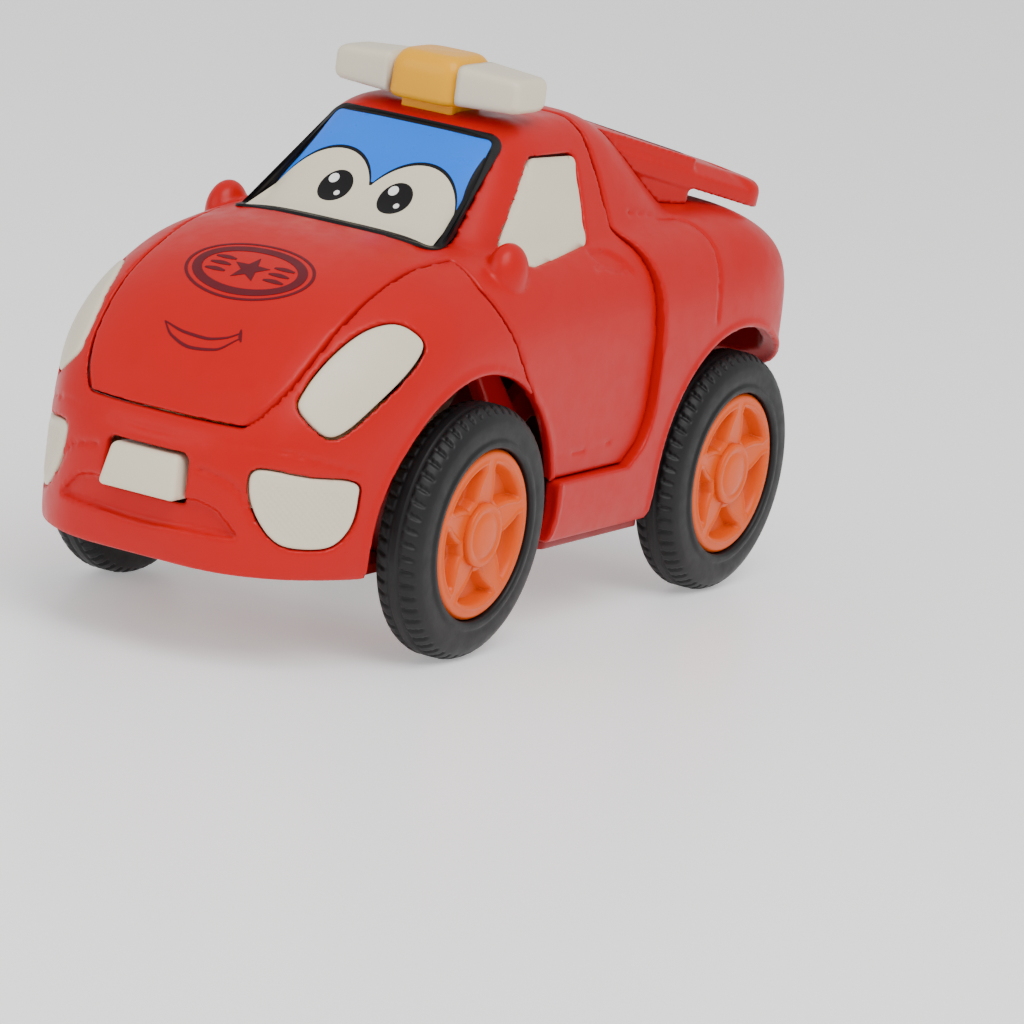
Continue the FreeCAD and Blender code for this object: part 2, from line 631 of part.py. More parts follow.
def save_robot():
    torso = rounded(box((15.0, -8.2, 30.5), (33.0, 8.2, 43.0)), 1.5)
    save("robot_torso", torso)
    chest = rounded(box((33.0, -14.6, 33.2), (42.6, 14.6, 43.0)), 1.5)
    save("robot_chest", chest)
    head = rounded(box((43.4, -7.0, 30.6), (54.0, 7.0, 38.4)), 2.2)
    neck = box((42.6, -3, 34), (44.4, 3, 38))
    save("robot_head", head.fuse(neck))
    spine = box((17.0, -5.5, 43.0), (41.0, 5.5, 45.2))
    for x in (27.0, 38.0):
        post = Part.makeCylinder(2.0, 12.0, V(x, 0, 44.0))
        spine = spine.fuse(post.common(lower_body(WALL + 0.05, 12)))
    save("robot_spine", spine)


def save_spoiler():
    corners = [(-24.0, -13.0, 67.6), (-24.0, 13.0, 67.6), (-62.5, 22.8, 58.4), (-62.5, -22.8, 58.4)]
    wing = prism(corners, SPOILER_UP, 2.0)
    root = [(-24.0, -12.9, 64.0), (-24.0, 12.9, 64.0), (-46.0, 18.6, 58.6), (-46.0, -18.6, 58.6)]
    web = prism(root, SPOILER_UP, 4.0)
    wing = wing.fuse(web).removeSplitter()
    save("spoiler", wing.cut(cabin(0)).cut(lower_body(0, 0, REAR_FLARE)))


def main():
    os.makedirs("parts", exist_ok=True)
    rear, clip, cab = body_shells()
    save("rear_body", rear)
    save_clip(clip)
    save_cab(cab)
    save_light_bar()
    save_robot()
    save_spoiler()
    save_wheels()
    save_gear_train()
    save_gearbox()
    save_chassis()
    save_tower()
    save_links()
    save_latch()


main()
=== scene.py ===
import json
from math import cos, pi, radians, sin

import bmesh
import bpy
import numpy as np
from mathutils import Matrix, Vector
from mathutils.bvhtree import BVHTree
from mathutils.geometry import delaunay_2d_cdt


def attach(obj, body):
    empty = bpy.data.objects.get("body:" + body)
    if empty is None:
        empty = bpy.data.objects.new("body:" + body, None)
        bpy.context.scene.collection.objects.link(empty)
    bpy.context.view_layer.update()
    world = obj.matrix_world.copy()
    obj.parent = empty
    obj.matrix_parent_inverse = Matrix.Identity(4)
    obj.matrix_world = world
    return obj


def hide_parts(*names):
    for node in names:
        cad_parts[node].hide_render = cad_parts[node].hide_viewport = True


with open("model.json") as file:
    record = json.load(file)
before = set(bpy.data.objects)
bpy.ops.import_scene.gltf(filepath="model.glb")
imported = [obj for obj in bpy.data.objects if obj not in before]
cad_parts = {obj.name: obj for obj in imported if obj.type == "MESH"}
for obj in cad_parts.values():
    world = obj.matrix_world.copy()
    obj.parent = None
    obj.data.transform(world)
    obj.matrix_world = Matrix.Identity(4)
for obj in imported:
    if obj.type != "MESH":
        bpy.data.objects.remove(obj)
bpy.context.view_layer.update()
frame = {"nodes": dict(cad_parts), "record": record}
MM = 0.001

# Camera: where the photograph was taken from
CAMERA_AZIMUTH = 119.04
CAMERA_ELEVATION = 12.33
CAMERA_ROLL = 7.37
CAMERA_DISTANCE = 0.8734
CAMERA_TARGET = Vector((-0.0377, 0.0, 0.0065))
CAMERA_LENS = 206.6

# Sizes shared with the CAD model, in millimetres
WALL = 1.6
REAR_FLARE = 1.4
SHELL_BOTTOM = 13.4
SILL_TOP = 22.4
DOOR_FRONT_X = 3.0
ROOF_Z = 70.3
TYRE_R = 17.9
TYRE_OUT_Y = 31.0
TYRE_WIDTH = 7.8
RIM_OUT_Y = TYRE_OUT_Y - 0.4
FRONT_X = 24.6
REAR_X = -47.2
ARCH_R = 22.0
BONNET_FRONT_Z = 33.0
HINGE = (5.0, 27.0)
MIRROR = (14.2, 23.2, 51.9)

# Sizes of the visual shells only: a thicker rear wall and tighter seams than in the CAD model
REAR_WALL = 2.4
SEAM = 0.28
ROOF_SEAM = 0.7
ROOF_SEAM_Z = 58.0
LUG_BORE = 1.7
SHELL_CELL = 0.38
SHELL_FACES = 170000

# Prints lie as thin panels just above the surface under them
INK_LIFT = 0.06
INK_DEPTH = 0.1

# Lower body: distance forward, half width, underside height, top height
BODY_STATIONS = (
    (64.0, 6.0, 16.0, 29.5), (63.0, 11.3, 12.0, 31.8), (61.0, 15.6, 9.5, 34.4), (57.5, 19.8, 8.5, 39.2),
    (53.0, 23.0, 8.0, 44.0), (47.5, 25.8, 8.0, 48.4), (40.0, 27.6, 8.0, 52.2), (30.0, 28.3, 8.0, 55.0),
    (15.0, 28.3, 8.0, 56.2), (-5.0, 28.3, 8.0, 56.5), (-25.0, 28.3, 8.0, 57.0), (-42.0, 28.3, 9.0, 57.0),
    (-53.0, 28.1, 12.0, 56.2), (-60.0, 27.2, 17.0, 54.2), (-63.8, 24.8, 21.0, 51.5),
    (-65.6, 20.0, 25.0, 48.5),
)
# Cabin: height, rear end, front end, half width
CABIN_STATIONS = (
    (46.0, -50.0, 31.0, 24.0), (53.5, -45.0, 22.0, 22.0), (60.0, -37.0, 14.6, 19.4),
    (66.0, -29.5, 8.0, 16.6), (ROOF_Z, -23.0, 3.0, 14.2),
)
REAR_SEAM = (
    (-16.0, 72.0), (-17.1, 65.9), (-17.6, 60.6), (-17.6, 55.6), (-20.6, 52.2),
    (-22.3, 47.1), (-22.8, 39.0), (-22.7, 31.2), (-20.9, 25.8), (-16.8, SILL_TOP),
)
DOOR_SEAM = ((22.6, 50.7), (20.3, 47.5), (17.4, 43.9), (14.6, 39.6), (11.2, 34.8), (8.6, 31.0), (6.0, 24.0))
BONNET_EDGE = (
    (66.0, 10.5), (60.3, 12.4), (58.0, 14.6), (54.3, 16.4), (47.6, 17.4), (32.2, 18.0), (22.6, 19.0),
)
WINDSCREEN = ((21.4, 16.2, 52.8), (21.4, -16.2, 52.8), (4.0, -13.4, 68.5), (4.0, 13.4, 68.5))
SIDE_WINDOW = ((12.2, 54.8), (7.6, 52.4), (0.5, 53.0), (-9.8, 54.0), (-12.2, 65.6), (-0.4, 66.0))
HEADLIGHT = (
    (55.7, 17.8, 36.1), (54.0, 20.9, 33.0), (52.0, 23.1, 33.8), (47.5, 25.0, 37.6), (41.9, 26.0, 41.7),
    (37.8, 25.3, 44.4), (38.9, 24.0, 46.7), (41.2, 21.9, 47.5), (45.5, 20.0, 46.3), (50.7, 18.6, 43.0),
    (54.2, 17.5, 38.8),
)
FOG_LAMP = (
    (60.6, 15.6, 28.1), (55.4, 20.1, 27.6), (50.2, 24.6, 27.0), (49.6, 25.2, 24.6), (50.2, 24.8, 20.8),
    (52.4, 23.4, 18.2), (56.1, 20.8, 17.8), (58.8, 18.6, 18.6), (60.4, 16.4, 21.4), (61.2, 15.0, 25.2),
)

# Lines moulded into the shell on the left, as points in space
BUMPER_LINE = (
    (63.8, 0.0, 30.9), (62.9, 7.5, 30.9), (59.8, 15.9, 31.0), (54.9, 21.6, 29.9), (49.4, 25.0, 28.5),
)
GRILLE_LINE = ((63.8, 7.9, 27.1), (62.6, 12.0, 26.3), (61.8, 14.1, 24.6), (60.6, 16.2, 20.8))
DOOR_LINE = ((4.4, 28.0, 26.0), (-4.0, 28.0, 25.9), (-13.0, 28.0, 26.2))
FENDER_LINE = (
    (-23.1, 20.5, 57.1), (-28.4, 20.6, 56.3), (-35.4, 20.3, 54.6), (-38.8, 22.0, 52.8), (-39.8, 24.3, 50.6),
    (-39.5, 25.8, 48.3), (-38.7, 27.0, 45.6), (-38.2, 27.9, 41.1),
)
# Hollow under the plate, as distance to the left and height
GRILLE = (
    (0.0, 22.0), (8.4, 22.9), (11.2, 22.2), (13.4, 20.0), (14.7, 18.5), (11.0, 18.4), (6.8, 18.4),
    (0.0, 18.1),
)
# Door handle: its hollow in side view, and the line above it as points in space
HANDLE = ((-7.6, 53.4), (-13.2, 53.1), (-16.5, 51.2), (-14.7, 50.1), (-10.0, 50.9))
HANDLE_LINE = (
    (-7.2, 27.0, 52.4), (-10.6, 27.0, 53.0), (-13.4, 27.0, 53.0), (-15.4, 27.0, 52.0), (-17.0, 27.0, 50.2),
)

# Hinge lugs in side view
CLIP_LUG = (
    (3.0, 24.8), (5.0, 24.0), (7.4, 25.2), (20.0, 40.4), (23.0, 40.4), (23.0, 43.8), (17.8, 43.8),
    (3.2, 29.4),
)
CAB_LUG = ((5.0, 24.0), (5.0, 30.0), (-4.0, 35.6), (-9.0, 35.6), (-9.0, 29.0), (-4.0, 29.0))


# ---------------------------------------------------------------- materials

def shade(name, color, roughness=0.38, grain=0.12, wear=0.06, fine=2600.0, metal=0.0, shine=0.3):
    """A moulded surface: faint colour drift, uneven gloss and a fine grain in the bump."""
    material = bpy.data.materials.new(name)
    material.use_nodes = True
    nodes = material.node_tree.nodes
    links = material.node_tree.links
    shader = nodes["Principled BSDF"]
    place = nodes.new("ShaderNodeTexCoord")
    drift, smear, tooth = (nodes.new("ShaderNodeTexNoise") for _ in range(3))
    for texture, scale, detail in ((drift, 90.0, 5.0), (smear, 420.0, 6.0), (tooth, fine, 3.0)):
        texture.inputs["Scale"].default_value = scale
        texture.inputs["Detail"].default_value = detail
        links.new(place.outputs["Object"], texture.inputs["Vector"])
    mix = nodes.new("ShaderNodeMix")
    mix.data_type = "RGBA"
    dark = [c * (1 - wear) for c in color]
    light = [min(1.0, c * (1 + wear * 0.5)) for c in color]
    mix.inputs[6].default_value = (*dark, 1)
    mix.inputs[7].default_value = (*light, 1)
    links.new(drift.outputs["Fac"], mix.inputs[0])
    links.new(mix.outputs[2], shader.inputs["Base Color"])
    gloss = nodes.new("ShaderNodeMapRange")
    gloss.inputs["From Min"].default_value = 0.3
    gloss.inputs["From Max"].default_value = 0.7
    gloss.inputs["To Min"].default_value = roughness - 0.05
    gloss.inputs["To Max"].default_value = roughness + 0.07
    links.new(smear.outputs["Fac"], gloss.inputs["Value"])
    links.new(gloss.outputs["Result"], shader.inputs["Roughness"])
    bump = nodes.new("ShaderNodeBump")
    bump.inputs["Strength"].default_value = grain
    bump.inputs["Distance"].default_value = 0.00005
    links.new(tooth.outputs["Fac"], bump.inputs["Height"])
    links.new(bump.outputs["Normal"], shader.inputs["Normal"])
    shader.inputs["Metallic"].default_value = metal
    shader.inputs["Specular IOR Level"].default_value = shine
    return material


RED = shade("red_plastic", (0.50, 0.0004, 0.0012), roughness=0.34, shine=0.22)
DARK_RED = shade("dark_red_plastic", (0.27, 0.0005, 0.002), roughness=0.33, shine=0.25)
IVORY = shade("ivory_plastic", (0.72, 0.65, 0.49), roughness=0.34)
YELLOW = shade("yellow_plastic", (0.84, 0.38, 0.0002), roughness=0.30, shine=0.25)
ORANGE = shade("orange_plastic", (0.72, 0.085, 0.0002), roughness=0.34, shine=0.25)
RUBBER = shade("tyre_rubber", (0.008, 0.008, 0.009), roughness=0.48, grain=0.35, wear=0.3, fine=1800.0)
STEEL = shade("drawn_steel", (0.62, 0.62, 0.64), roughness=0.26, metal=1.0, fine=3500.0, shine=0.5)
GREY = shade("grey_plastic", (0.62, 0.63, 0.60), roughness=0.42)
NYLON = shade("natural_nylon", (0.78, 0.77, 0.70), roughness=0.40)
BLACK_INK = shade("black_ink", (0.006, 0.005, 0.006), roughness=0.42, grain=0.05, shine=0.2)
DARK_INK = shade("dark_print", (0.10, 0.004, 0.010), roughness=0.45, grain=0.05, shine=0.2)
BLUE_INK = shade("blue_print", (0.002, 0.17, 0.86), roughness=0.30, grain=0.05, shine=0.2)
WHITE_INK = shade("white_print", (0.88, 0.88, 0.86), roughness=0.30, grain=0.05)
SLOT_LOOK = {"red_body": RED, "red_inner": DARK_RED, "ivory": IVORY, "yellow": YELLOW, "orange": ORANGE,
             "tyre": RUBBER, "steel": STEEL, "grey_plastic": GREY, "gear_plastic": NYLON, "screen": IVORY}
NODE_SLOT = {part["node"]: part["material_slot"] for part in frame["record"]["subparts"]}
BODIES = frame["record"]["behaviour"]["bodies"]
NODE_BODY = {node: body for body, nodes in BODIES.items() for node in nodes}


# ---------------------------------------------------------------- mesh helpers

def new_piece(name, points, faces):
    """A mesh object from points in millimetres."""
    mesh = bpy.data.meshes.new(name)
    mesh.from_pydata((np.asarray(points, float) * MM).tolist(), [], faces)
    mesh.validate()
    piece = bpy.data.objects.new(name, mesh)
    bpy.context.scene.collection.objects.link(piece)
    return piece


def drop(piece):
    mesh = piece.data
    bpy.data.objects.remove(piece)
    bpy.data.meshes.remove(mesh)


def settle(piece):
    """Turn the piece's modifiers into mesh."""
    graph = bpy.context.evaluated_depsgraph_get()
    mesh = bpy.data.meshes.new_from_object(piece.evaluated_get(graph))
    old = piece.data
    piece.modifiers.clear()
    piece.data = mesh
    bpy.data.meshes.remove(old)


def remeshed(piece, size, smoothing, limit=0):
    """Rebuild the mesh in even cells, soften it, and thin it out to a number of faces."""
    cells = piece.modifiers.new("cells", "REMESH")
    cells.mode = "VOXEL"
    cells.voxel_size = size * MM
    if smoothing:
        soft = piece.modifiers.new("soft", "SMOOTH")
        soft.factor = 0.5
        soft.iterations = smoothing
    settle(piece)
    count = 2 * len(piece.data.polygons)
    if limit and count > limit:
        thin = piece.modifiers.new("thin", "DECIMATE")
        thin.ratio = limit / count
        settle(piece)


def carve(piece, cutter, operation="DIFFERENCE", keep=False):
    step = piece.modifiers.new("carve", "BOOLEAN")
    step.operation = operation
    step.object = cutter
    step.solver = "MANIFOLD"
    settle(piece)
    if not keep:
        drop(cutter)


def copy_of(piece, name):
    twin = piece.copy()
    twin.data = piece.data.copy()
    twin.name = name
    bpy.context.scene.collection.objects.link(twin)
    return twin


def mirrored(piece, name):
    """The same piece on the right-hand side of the car."""
    twin = copy_of(piece, name)
    twin.data.transform(Matrix.Scale(-1, 4, (0, 1, 0)))
    twin.data.flip_normals()
    return twin


def merged(name, pieces):
    """One object out of several."""
    body = bmesh.new()
    for piece in pieces:
        body.from_mesh(piece.data)
    mesh = bpy.data.meshes.new(name)
    body.to_mesh(mesh)
    body.free()
    for piece in pieces:
        drop(piece)
    whole = bpy.data.objects.new(name, mesh)
    bpy.context.scene.collection.objects.link(whole)
    return whole


def finished(piece, body, look, stands_for=()):
    """Give a piece its look, its body and the CAD nodes it stands for."""
    piece.data.materials.clear()
    piece.data.materials.append(look)
    piece.data.shade_smooth()
    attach(piece, body)
    if stands_for:
        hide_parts(*stands_for)
    return piece


def creased(piece, degrees):
    piece.data.set_sharp_from_angle(angle=radians(degrees))


def monotone(knots, values, at):
    """A smooth curve through points that never overshoots them."""
    knots = np.asarray(knots, float)
    values = np.asarray(values, float)
    step = np.diff(knots)
    rise = np.diff(values) / step
    slope = np.zeros(len(knots))
    same = rise[:-1] * rise[1:] > 0
    slope[1:-1][same] = 2 * rise[:-1][same] * rise[1:][same] / (rise[:-1][same] + rise[1:][same])
    slope[0] = rise[0]
    slope[-1] = rise[-1]
    k = np.clip(np.searchsorted(knots, at) - 1, 0, len(step) - 1)
    t = (at - knots[k]) / step[k]
    return ((1 + 2 * t) * (1 - t) ** 2 * values[k] + t * (1 - t) ** 2 * step[k] * slope[k]
            + t * t * (3 - 2 * t) * values[k + 1] + t * t * (t - 1) * step[k] * slope[k + 1])


def curve_through(points, count):
    """Points spread along a smooth open curve through a few given ones."""
    points = np.asarray(points, float)
    length = np.concatenate([[0], np.cumsum(np.linalg.norm(np.diff(points, axis=0), axis=1))])
    at = np.linspace(0, length[-1], count)
    return np.stack([monotone(length, points[:, i], at) for i in range(points.shape[1])], axis=1)


def closed_curve(points, steps=8):
    """A smooth closed line through points."""
    here = np.asarray(points, float)
    before, after, far = (np.roll(here, k, axis=0) for k in (1, -1, -2))
    rows = []
    for t in np.linspace(0, 1, steps, endpoint=False):
        bend = (2 * before - 5 * here + 4 * after - far) * t * t
        twist = (3 * here - before - 3 * after + far) * t ** 3
        rows.append(0.5 * (2 * here + (after - before) * t + bend + twist))
    return np.stack(rows, axis=1).reshape(-1, here.shape[1])


def stroke(line, width):
    """The outline of a pen line that thins towards its ends."""
    line = curve_through(line, 40)
    ahead = np.gradient(line, axis=0)
    ahead /= np.linalg.norm(ahead, axis=1)[:, None]
    half = width / 2 * (0.35 + 0.65 * np.sin(np.linspace(0, pi, len(line))))[:, None]
    across = np.stack([-ahead[:, 1], ahead[:, 0]], axis=1) * half
    return np.concatenate([line + across, (line - across)[::-1]])


def rounded_outline(corners, radius, count=8):
    """A polygon with its corners rounded."""
    corners = [np.asarray(c, float) for c in corners]
    out = []
    for i, corner in enumerate(corners):
        before = corners[i - 1] - corner
        after = corners[(i + 1) % len(corners)] - corner
        reach = min(radius, 0.45 * np.linalg.norm(before), 0.45 * np.linalg.norm(after))
        start = corner + before / np.linalg.norm(before) * reach
        end = corner + after / np.linalg.norm(after) * reach
        for t in np.linspace(0, 1, count):
            out.append((1 - t) ** 2 * start + 2 * t * (1 - t) * corner + t * t * end)
    return out


def grown(outline, amount):
    """An outline in the plane moved outwards by an amount."""
    points = np.asarray(outline, float)
    ahead = np.roll(points, -1, axis=0) - np.roll(points, 1, axis=0)
    ahead /= np.linalg.norm(ahead, axis=1)[:, None] + 1e-12
    area = np.sum(points[:, 0] * np.roll(points[:, 1], -1) - points[:, 1] * np.roll(points[:, 0], -1))
    side = 1 if area > 0 else -1
    return points + side * amount * np.stack([ahead[:, 1], -ahead[:, 0]], axis=1)


def around(count):
    """Angles spread evenly around a circle."""
    return 2 * pi * np.arange(count) / count


def ring_at(radius, turn, y=0.0, centre=(0.0, 0.0)):
    """Points around an axis across the car."""
    x = centre[0] + radius * np.cos(turn)
    z = centre[1] + radius * np.sin(turn)
    return np.stack([x, y + 0 * turn, z], axis=1)


def superellipse(half_a, half_b, power, count, low_power=None):
    a = 2 * pi * (np.arange(count) + 0.5) / count
    c = np.cos(a)
    s = np.sin(a)
    p = np.where(s > 0, power, low_power or power)
    u = half_a * np.abs(c) ** (2 / p) * np.sign(c)
    v = half_b * np.abs(s) ** (2 / p) * np.sign(s)
    return u, v


def loft(name, rings):
    """A closed skin over a row of rings with the same number of points."""
    rings = np.asarray(rings, float)
    n, m = rings.shape[:2]
    faces = []
    for i in range(n - 1):
        for j in range(m):
            k = (j + 1) % m
            faces.append((i * m + j, i * m + k, (i + 1) * m + k, (i + 1) * m + j))
    faces.append(tuple(reversed(range(m))))
    faces.append(tuple(range((n - 1) * m, n * m)))
    piece = new_piece(name, rings.reshape(-1, 3), faces)
    face_out(piece)
    return piece


def face_out(piece):
    body = bmesh.new()
    body.from_mesh(piece.data)
    bmesh.ops.recalc_face_normals(body, faces=body.faces)
    body.to_mesh(piece.data)
    body.free()


def bar_along(name, outline, start, end):
    """A straight bar between two copies of an outline given in space."""
    start = np.asarray(start, float)
    end = np.asarray(end, float)
    ring = np.asarray(outline, float)
    return loft(name, [ring + start, ring + end])


def side_prism(name, outline):
    """A prism across the car over an outline in side view."""
    ring = [(x, 0, z) for x, z in outline]
    return bar_along(name, ring, (0, -45, 0), (0, 45, 0))


def block(name, low, high, round_by, steps=4):
    """A moulded block with rounded edges."""
    (x0, y0, z0), (x1, y1, z1) = low, high
    points = [(x, y, z) for x in (x0, x1) for y in (y0, y1) for z in (z0, z1)]
    faces = [(0, 1, 3, 2), (4, 6, 7, 5), (0, 4, 5, 1), (2, 3, 7, 6), (0, 2, 6, 4), (1, 5, 7, 3)]
    piece = new_piece(name, points, faces)
    soften_edges(piece, round_by, steps)
    return piece


def soften_edges(piece, round_by, steps=4):
    bevel = piece.modifiers.new("edges", "BEVEL")
    bevel.width = round_by * MM
    bevel.segments = steps
    bevel.limit_method = "ANGLE"
    bevel.angle_limit = radians(30)
    settle(piece)


def wedge(name, ends, round_by):
    """A four-sided moulding between two level ends: rear, front, half width and height of each."""
    points = []
    for rear, front, half_width, z in ends:
        for x, side in ((rear, -1), (front, -1), (front, 1), (rear, 1)):
            points.append((x, side * half_width, z))
    sides = [(i, (i + 1) % 4, 4 + (i + 1) % 4, 4 + i) for i in range(4)]
    piece = new_piece(name, points, [(0, 1, 2, 3), (4, 5, 6, 7)] + sides)
    face_out(piece)
    soften_edges(piece, round_by)
    return piece


def ball(name, centre, radii):
    """An egg-shaped knob."""
    rings = []
    for a in np.linspace(-0.47 * pi, 0.47 * pi, 25):
        x, y = superellipse(radii[0] * cos(a), radii[1] * cos(a), 2.0, 48)
        rings.append(np.asarray(centre) + np.stack([x, y, np.full(48, radii[2] * sin(a))], axis=1))
    return loft(name, rings)


def frame_of(direction, along):
    aim = np.asarray(direction, float)
    aim /= np.linalg.norm(aim)
    u = np.asarray(along, float)
    u = u - aim * u.dot(aim)
    u /= np.linalg.norm(u)
    return aim, u, np.cross(aim, u)


def inside(points, outline):
    """Which points of the plane lie inside an outline."""
    x, y = points[:, 0], points[:, 1]
    result = np.zeros(len(points), bool)
    loop = np.asarray(outline, float)
    for (x1, y1), (x2, y2) in zip(loop, np.roll(loop, -1, axis=0)):
        if y1 == y2:
            continue
        crossing = ((y1 > y) != (y2 > y)) & (x < (x2 - x1) * (y - y1) / (y2 - y1) + x1)
        result ^= crossing
    return result


def edge_distance(points, outline):
    """Distance of each point from an outline."""
    loop = np.asarray(outline, float)
    best = np.full(len(points), 1e9)
    for a, b in zip(loop, np.roll(loop, -1, axis=0)):
        run = b - a
        t = np.clip(((points - a) @ run) / (run @ run + 1e-12), 0, 1)
        best = np.minimum(best, np.linalg.norm(points - a - t[:, None] * run, axis=1))
    return best


def panel(name, outline, surface, lift, depth, round_by=0.0, spacing=0.5, holes=(), relief=None):
    """A panel lying on a surface: outline in the plane, lifted off it, with a rounded rim."""
    outline = np.asarray(outline, float)
    low = outline.min(axis=0)
    high = outline.max(axis=0)
    grid = np.stack(np.meshgrid(np.arange(low[0], high[0], spacing), np.arange(low[1], high[1], spacing)),
                    axis=-1).reshape(-1, 2)
    grid = grid[inside(grid, outline) & (edge_distance(grid, outline) > 0.4 * spacing)]
    rings = [outline]
    if round_by:
        for share in (0.12, 0.3, 0.6, 1.0):
            inner = grown(outline, -round_by * share)
            keep = inside(inner, outline) & (edge_distance(inner, outline) > 0.85 * round_by * share)
            rings.append(inner[keep])
        grid = grid[edge_distance(grid, outline) > round_by * 1.15]
    loops = [list(range(len(outline)))]
    for hole in holes:
        hole = np.asarray(hole, float)
        grid = grid[~inside(grid, hole) & (edge_distance(grid, hole) > 0.4 * spacing)]
        start = sum(len(r) for r in rings)
        loops.append(list(range(start, start + len(hole))))
        rings.append(hole)
    flat = np.concatenate(rings + [grid])
    edges = [(loop[i], loop[(i + 1) % len(loop)]) for loop in loops for i in range(len(loop))]
    flat, _, faces, _, _, _ = delaunay_2d_cdt([Vector(p) for p in flat], edges, [], 0, 1e-6)
    flat = np.array([tuple(p) for p in flat])
    centres = np.array([flat[list(face)].mean(axis=0) for face in faces])
    keep = inside(centres, outline)
    for hole in holes:
        keep &= ~inside(centres, hole)
    faces = [tuple(face) for face, good in zip(faces, keep) if good]
    base, normal = surface(flat)
    rise = np.full(len(flat), float(lift))
    if round_by:
        rim = np.clip(1 - edge_distance(flat, outline) / round_by, 0, 1)
        rise -= round_by * (1 - np.sqrt(1 - rim ** 2))
    if relief is not None:
        rise += relief(flat)
    top = base + normal * rise[:, None]
    under = base + normal * (lift - depth)
    n = len(flat)
    count = {}
    for face in faces:
        for a, b in zip(face, face[1:] + face[:1]):
            count[(a, b)] = count.get((a, b), 0) + 1
    walls = [(b, a, a + n, b + n) for a, b in count if (b, a) not in count]
    back = [tuple(i + n for i in reversed(face)) for face in faces]
    piece = new_piece(name, np.concatenate([top, under]), faces + walls + back)
    body = bmesh.new()
    body.from_mesh(piece.data)
    loose = [v for v in body.verts if not v.link_faces]
    bmesh.ops.delete(body, geom=loose, context="VERTS")
    bmesh.ops.recalc_face_normals(body, faces=body.faces)
    body.to_mesh(piece.data)
    body.free()
    creased(piece, 40)
    return piece


def on_form(form, origin, direction, along):
    """A surface for panels: outline points are thrown onto a form along a direction."""
    aim, u, v = frame_of(direction, along)
    origin = np.asarray(origin, float)
    tree = form["tree"]

    def surface(flat):
        base = []
        normal = []
        for a, b in flat:
            start = origin + u * a + v * b + aim * 25
            hit, _, face, _ = tree.ray_cast(Vector(start), Vector(-aim))
            if hit is None:
                hit, _, face, _ = tree.find_nearest(Vector(origin + u * a + v * b))
            base.append(tuple(hit))
            normal.append(form["normals"][face])
        return np.array(base), np.array(normal)
    return surface


def on_patch(form, place, outline):
    """A smooth even surface fitted to a form under an outline, so that panels on it keep clean edges."""
    origin, direction, along = place
    aim, u, v = frame_of(direction, along)
    low = outline.min(axis=0) - 1
    high = outline.max(axis=0) + 1
    grid = np.stack(np.meshgrid(np.arange(low[0], high[0], 0.8), np.arange(low[1], high[1], 0.8)),
                    axis=-1).reshape(-1, 2)
    grid = grid[inside(grid, grown(outline, 0.9))]
    height = (on_form(form, *place)(grid)[0] - origin) @ aim
    scale = np.abs(outline).max(axis=0)
    powers = [(i, j) for i in range(0, 11, 2) for j in range(5)]

    def columns(flat):
        a, b = (flat / scale).T
        return np.stack([a ** i * b ** j for i, j in powers], axis=1)

    weights = np.linalg.lstsq(columns(grid), height, rcond=None)[0]

    def surface(flat):
        here = columns(flat) @ weights
        rise_u = (columns(flat + (0.05, 0)) @ weights - here) / 0.05
        rise_v = (columns(flat + (0, 0.05)) @ weights - here) / 0.05
        base = origin + flat[:, :1] * u + flat[:, 1:] * v + here[:, None] * aim
        normal = aim - rise_u[:, None] * u - rise_v[:, None] * v
        return base, normal / np.linalg.norm(normal, axis=1)[:, None]
    return surface


def on_plane(origin, direction, along):
    aim, u, v = frame_of(direction, along)
    origin = np.asarray(origin, float)

    def surface(flat):
        base = origin + flat[:, :1] * u + flat[:, 1:] * v
        return base, np.repeat(aim[None], len(flat), axis=0)
    return surface


def plane_of(points, origin, direction, along):
    """Points in space seen along a direction, as points of the plane."""
    _, u, v = frame_of(direction, along)
    shift = np.asarray(points, float) - np.asarray(origin, float)
    return np.stack([shift @ u, shift @ v], axis=1)


def hole_cutter(outline, origin, direction, along, near=-9, far=9):
    """A prism through an outline in the plane."""
    aim, u, v = frame_of(direction, along)
    ring = np.asarray(origin, float) + np.asarray(outline)[:, :1] * u + np.asarray(outline)[:, 1:] * v
    return bar_along("cutter", ring, aim * near, aim * far)


def tube(name, path, radius, sides=10):
    """A round bead along a path."""
    path = np.asarray(path, float)
    ahead = np.gradient(path, axis=0)
    ahead /= np.linalg.norm(ahead, axis=1)[:, None]
    rings = []
    side = np.cross(ahead[0], (0.3, 0.5, 0.81))
    for point, run in zip(path, ahead):
        side = side - run * side.dot(run)
        side /= np.linalg.norm(side)
        other = np.cross(run, side)
        turn = around(sides)
        rings.append(point + radius * (np.cos(turn)[:, None] * side + np.sin(turn)[:, None] * other))
    return loft(name, rings)


# ---------------------------------------------------------------- body form

def lower_form(flare):
    """The lower body, squarer at the shoulders towards the tail."""
    knots = [s[0] for s in reversed(BODY_STATIONS)]
    columns = [[s[i] for s in reversed(BODY_STATIONS)] for i in (1, 2, 3)]
    at = np.concatenate([np.linspace(-65.6, -58, 14)[:-1], np.linspace(-58, 50, 70)[:-1],
                         np.linspace(50, 64, 26)])
    half_width, low, high = (monotone(knots, column, at) for column in columns)
    rings = []
    for x, w, b, t in zip(at, half_width + flare, low, high):
        middle = b + (t - b) * 0.48
        y, z = superellipse(w, 1.0, np.interp(x, (-52, -44, 8, 40), (4.8, 4.2, 4.0, 3.2)), 120, 6.0)
        height = middle + np.where(z > 0, z * (t - middle), z * (middle - b))
        rings.append(np.stack([np.full(120, x), y, height], axis=1))
    return loft("lower_form", rings)


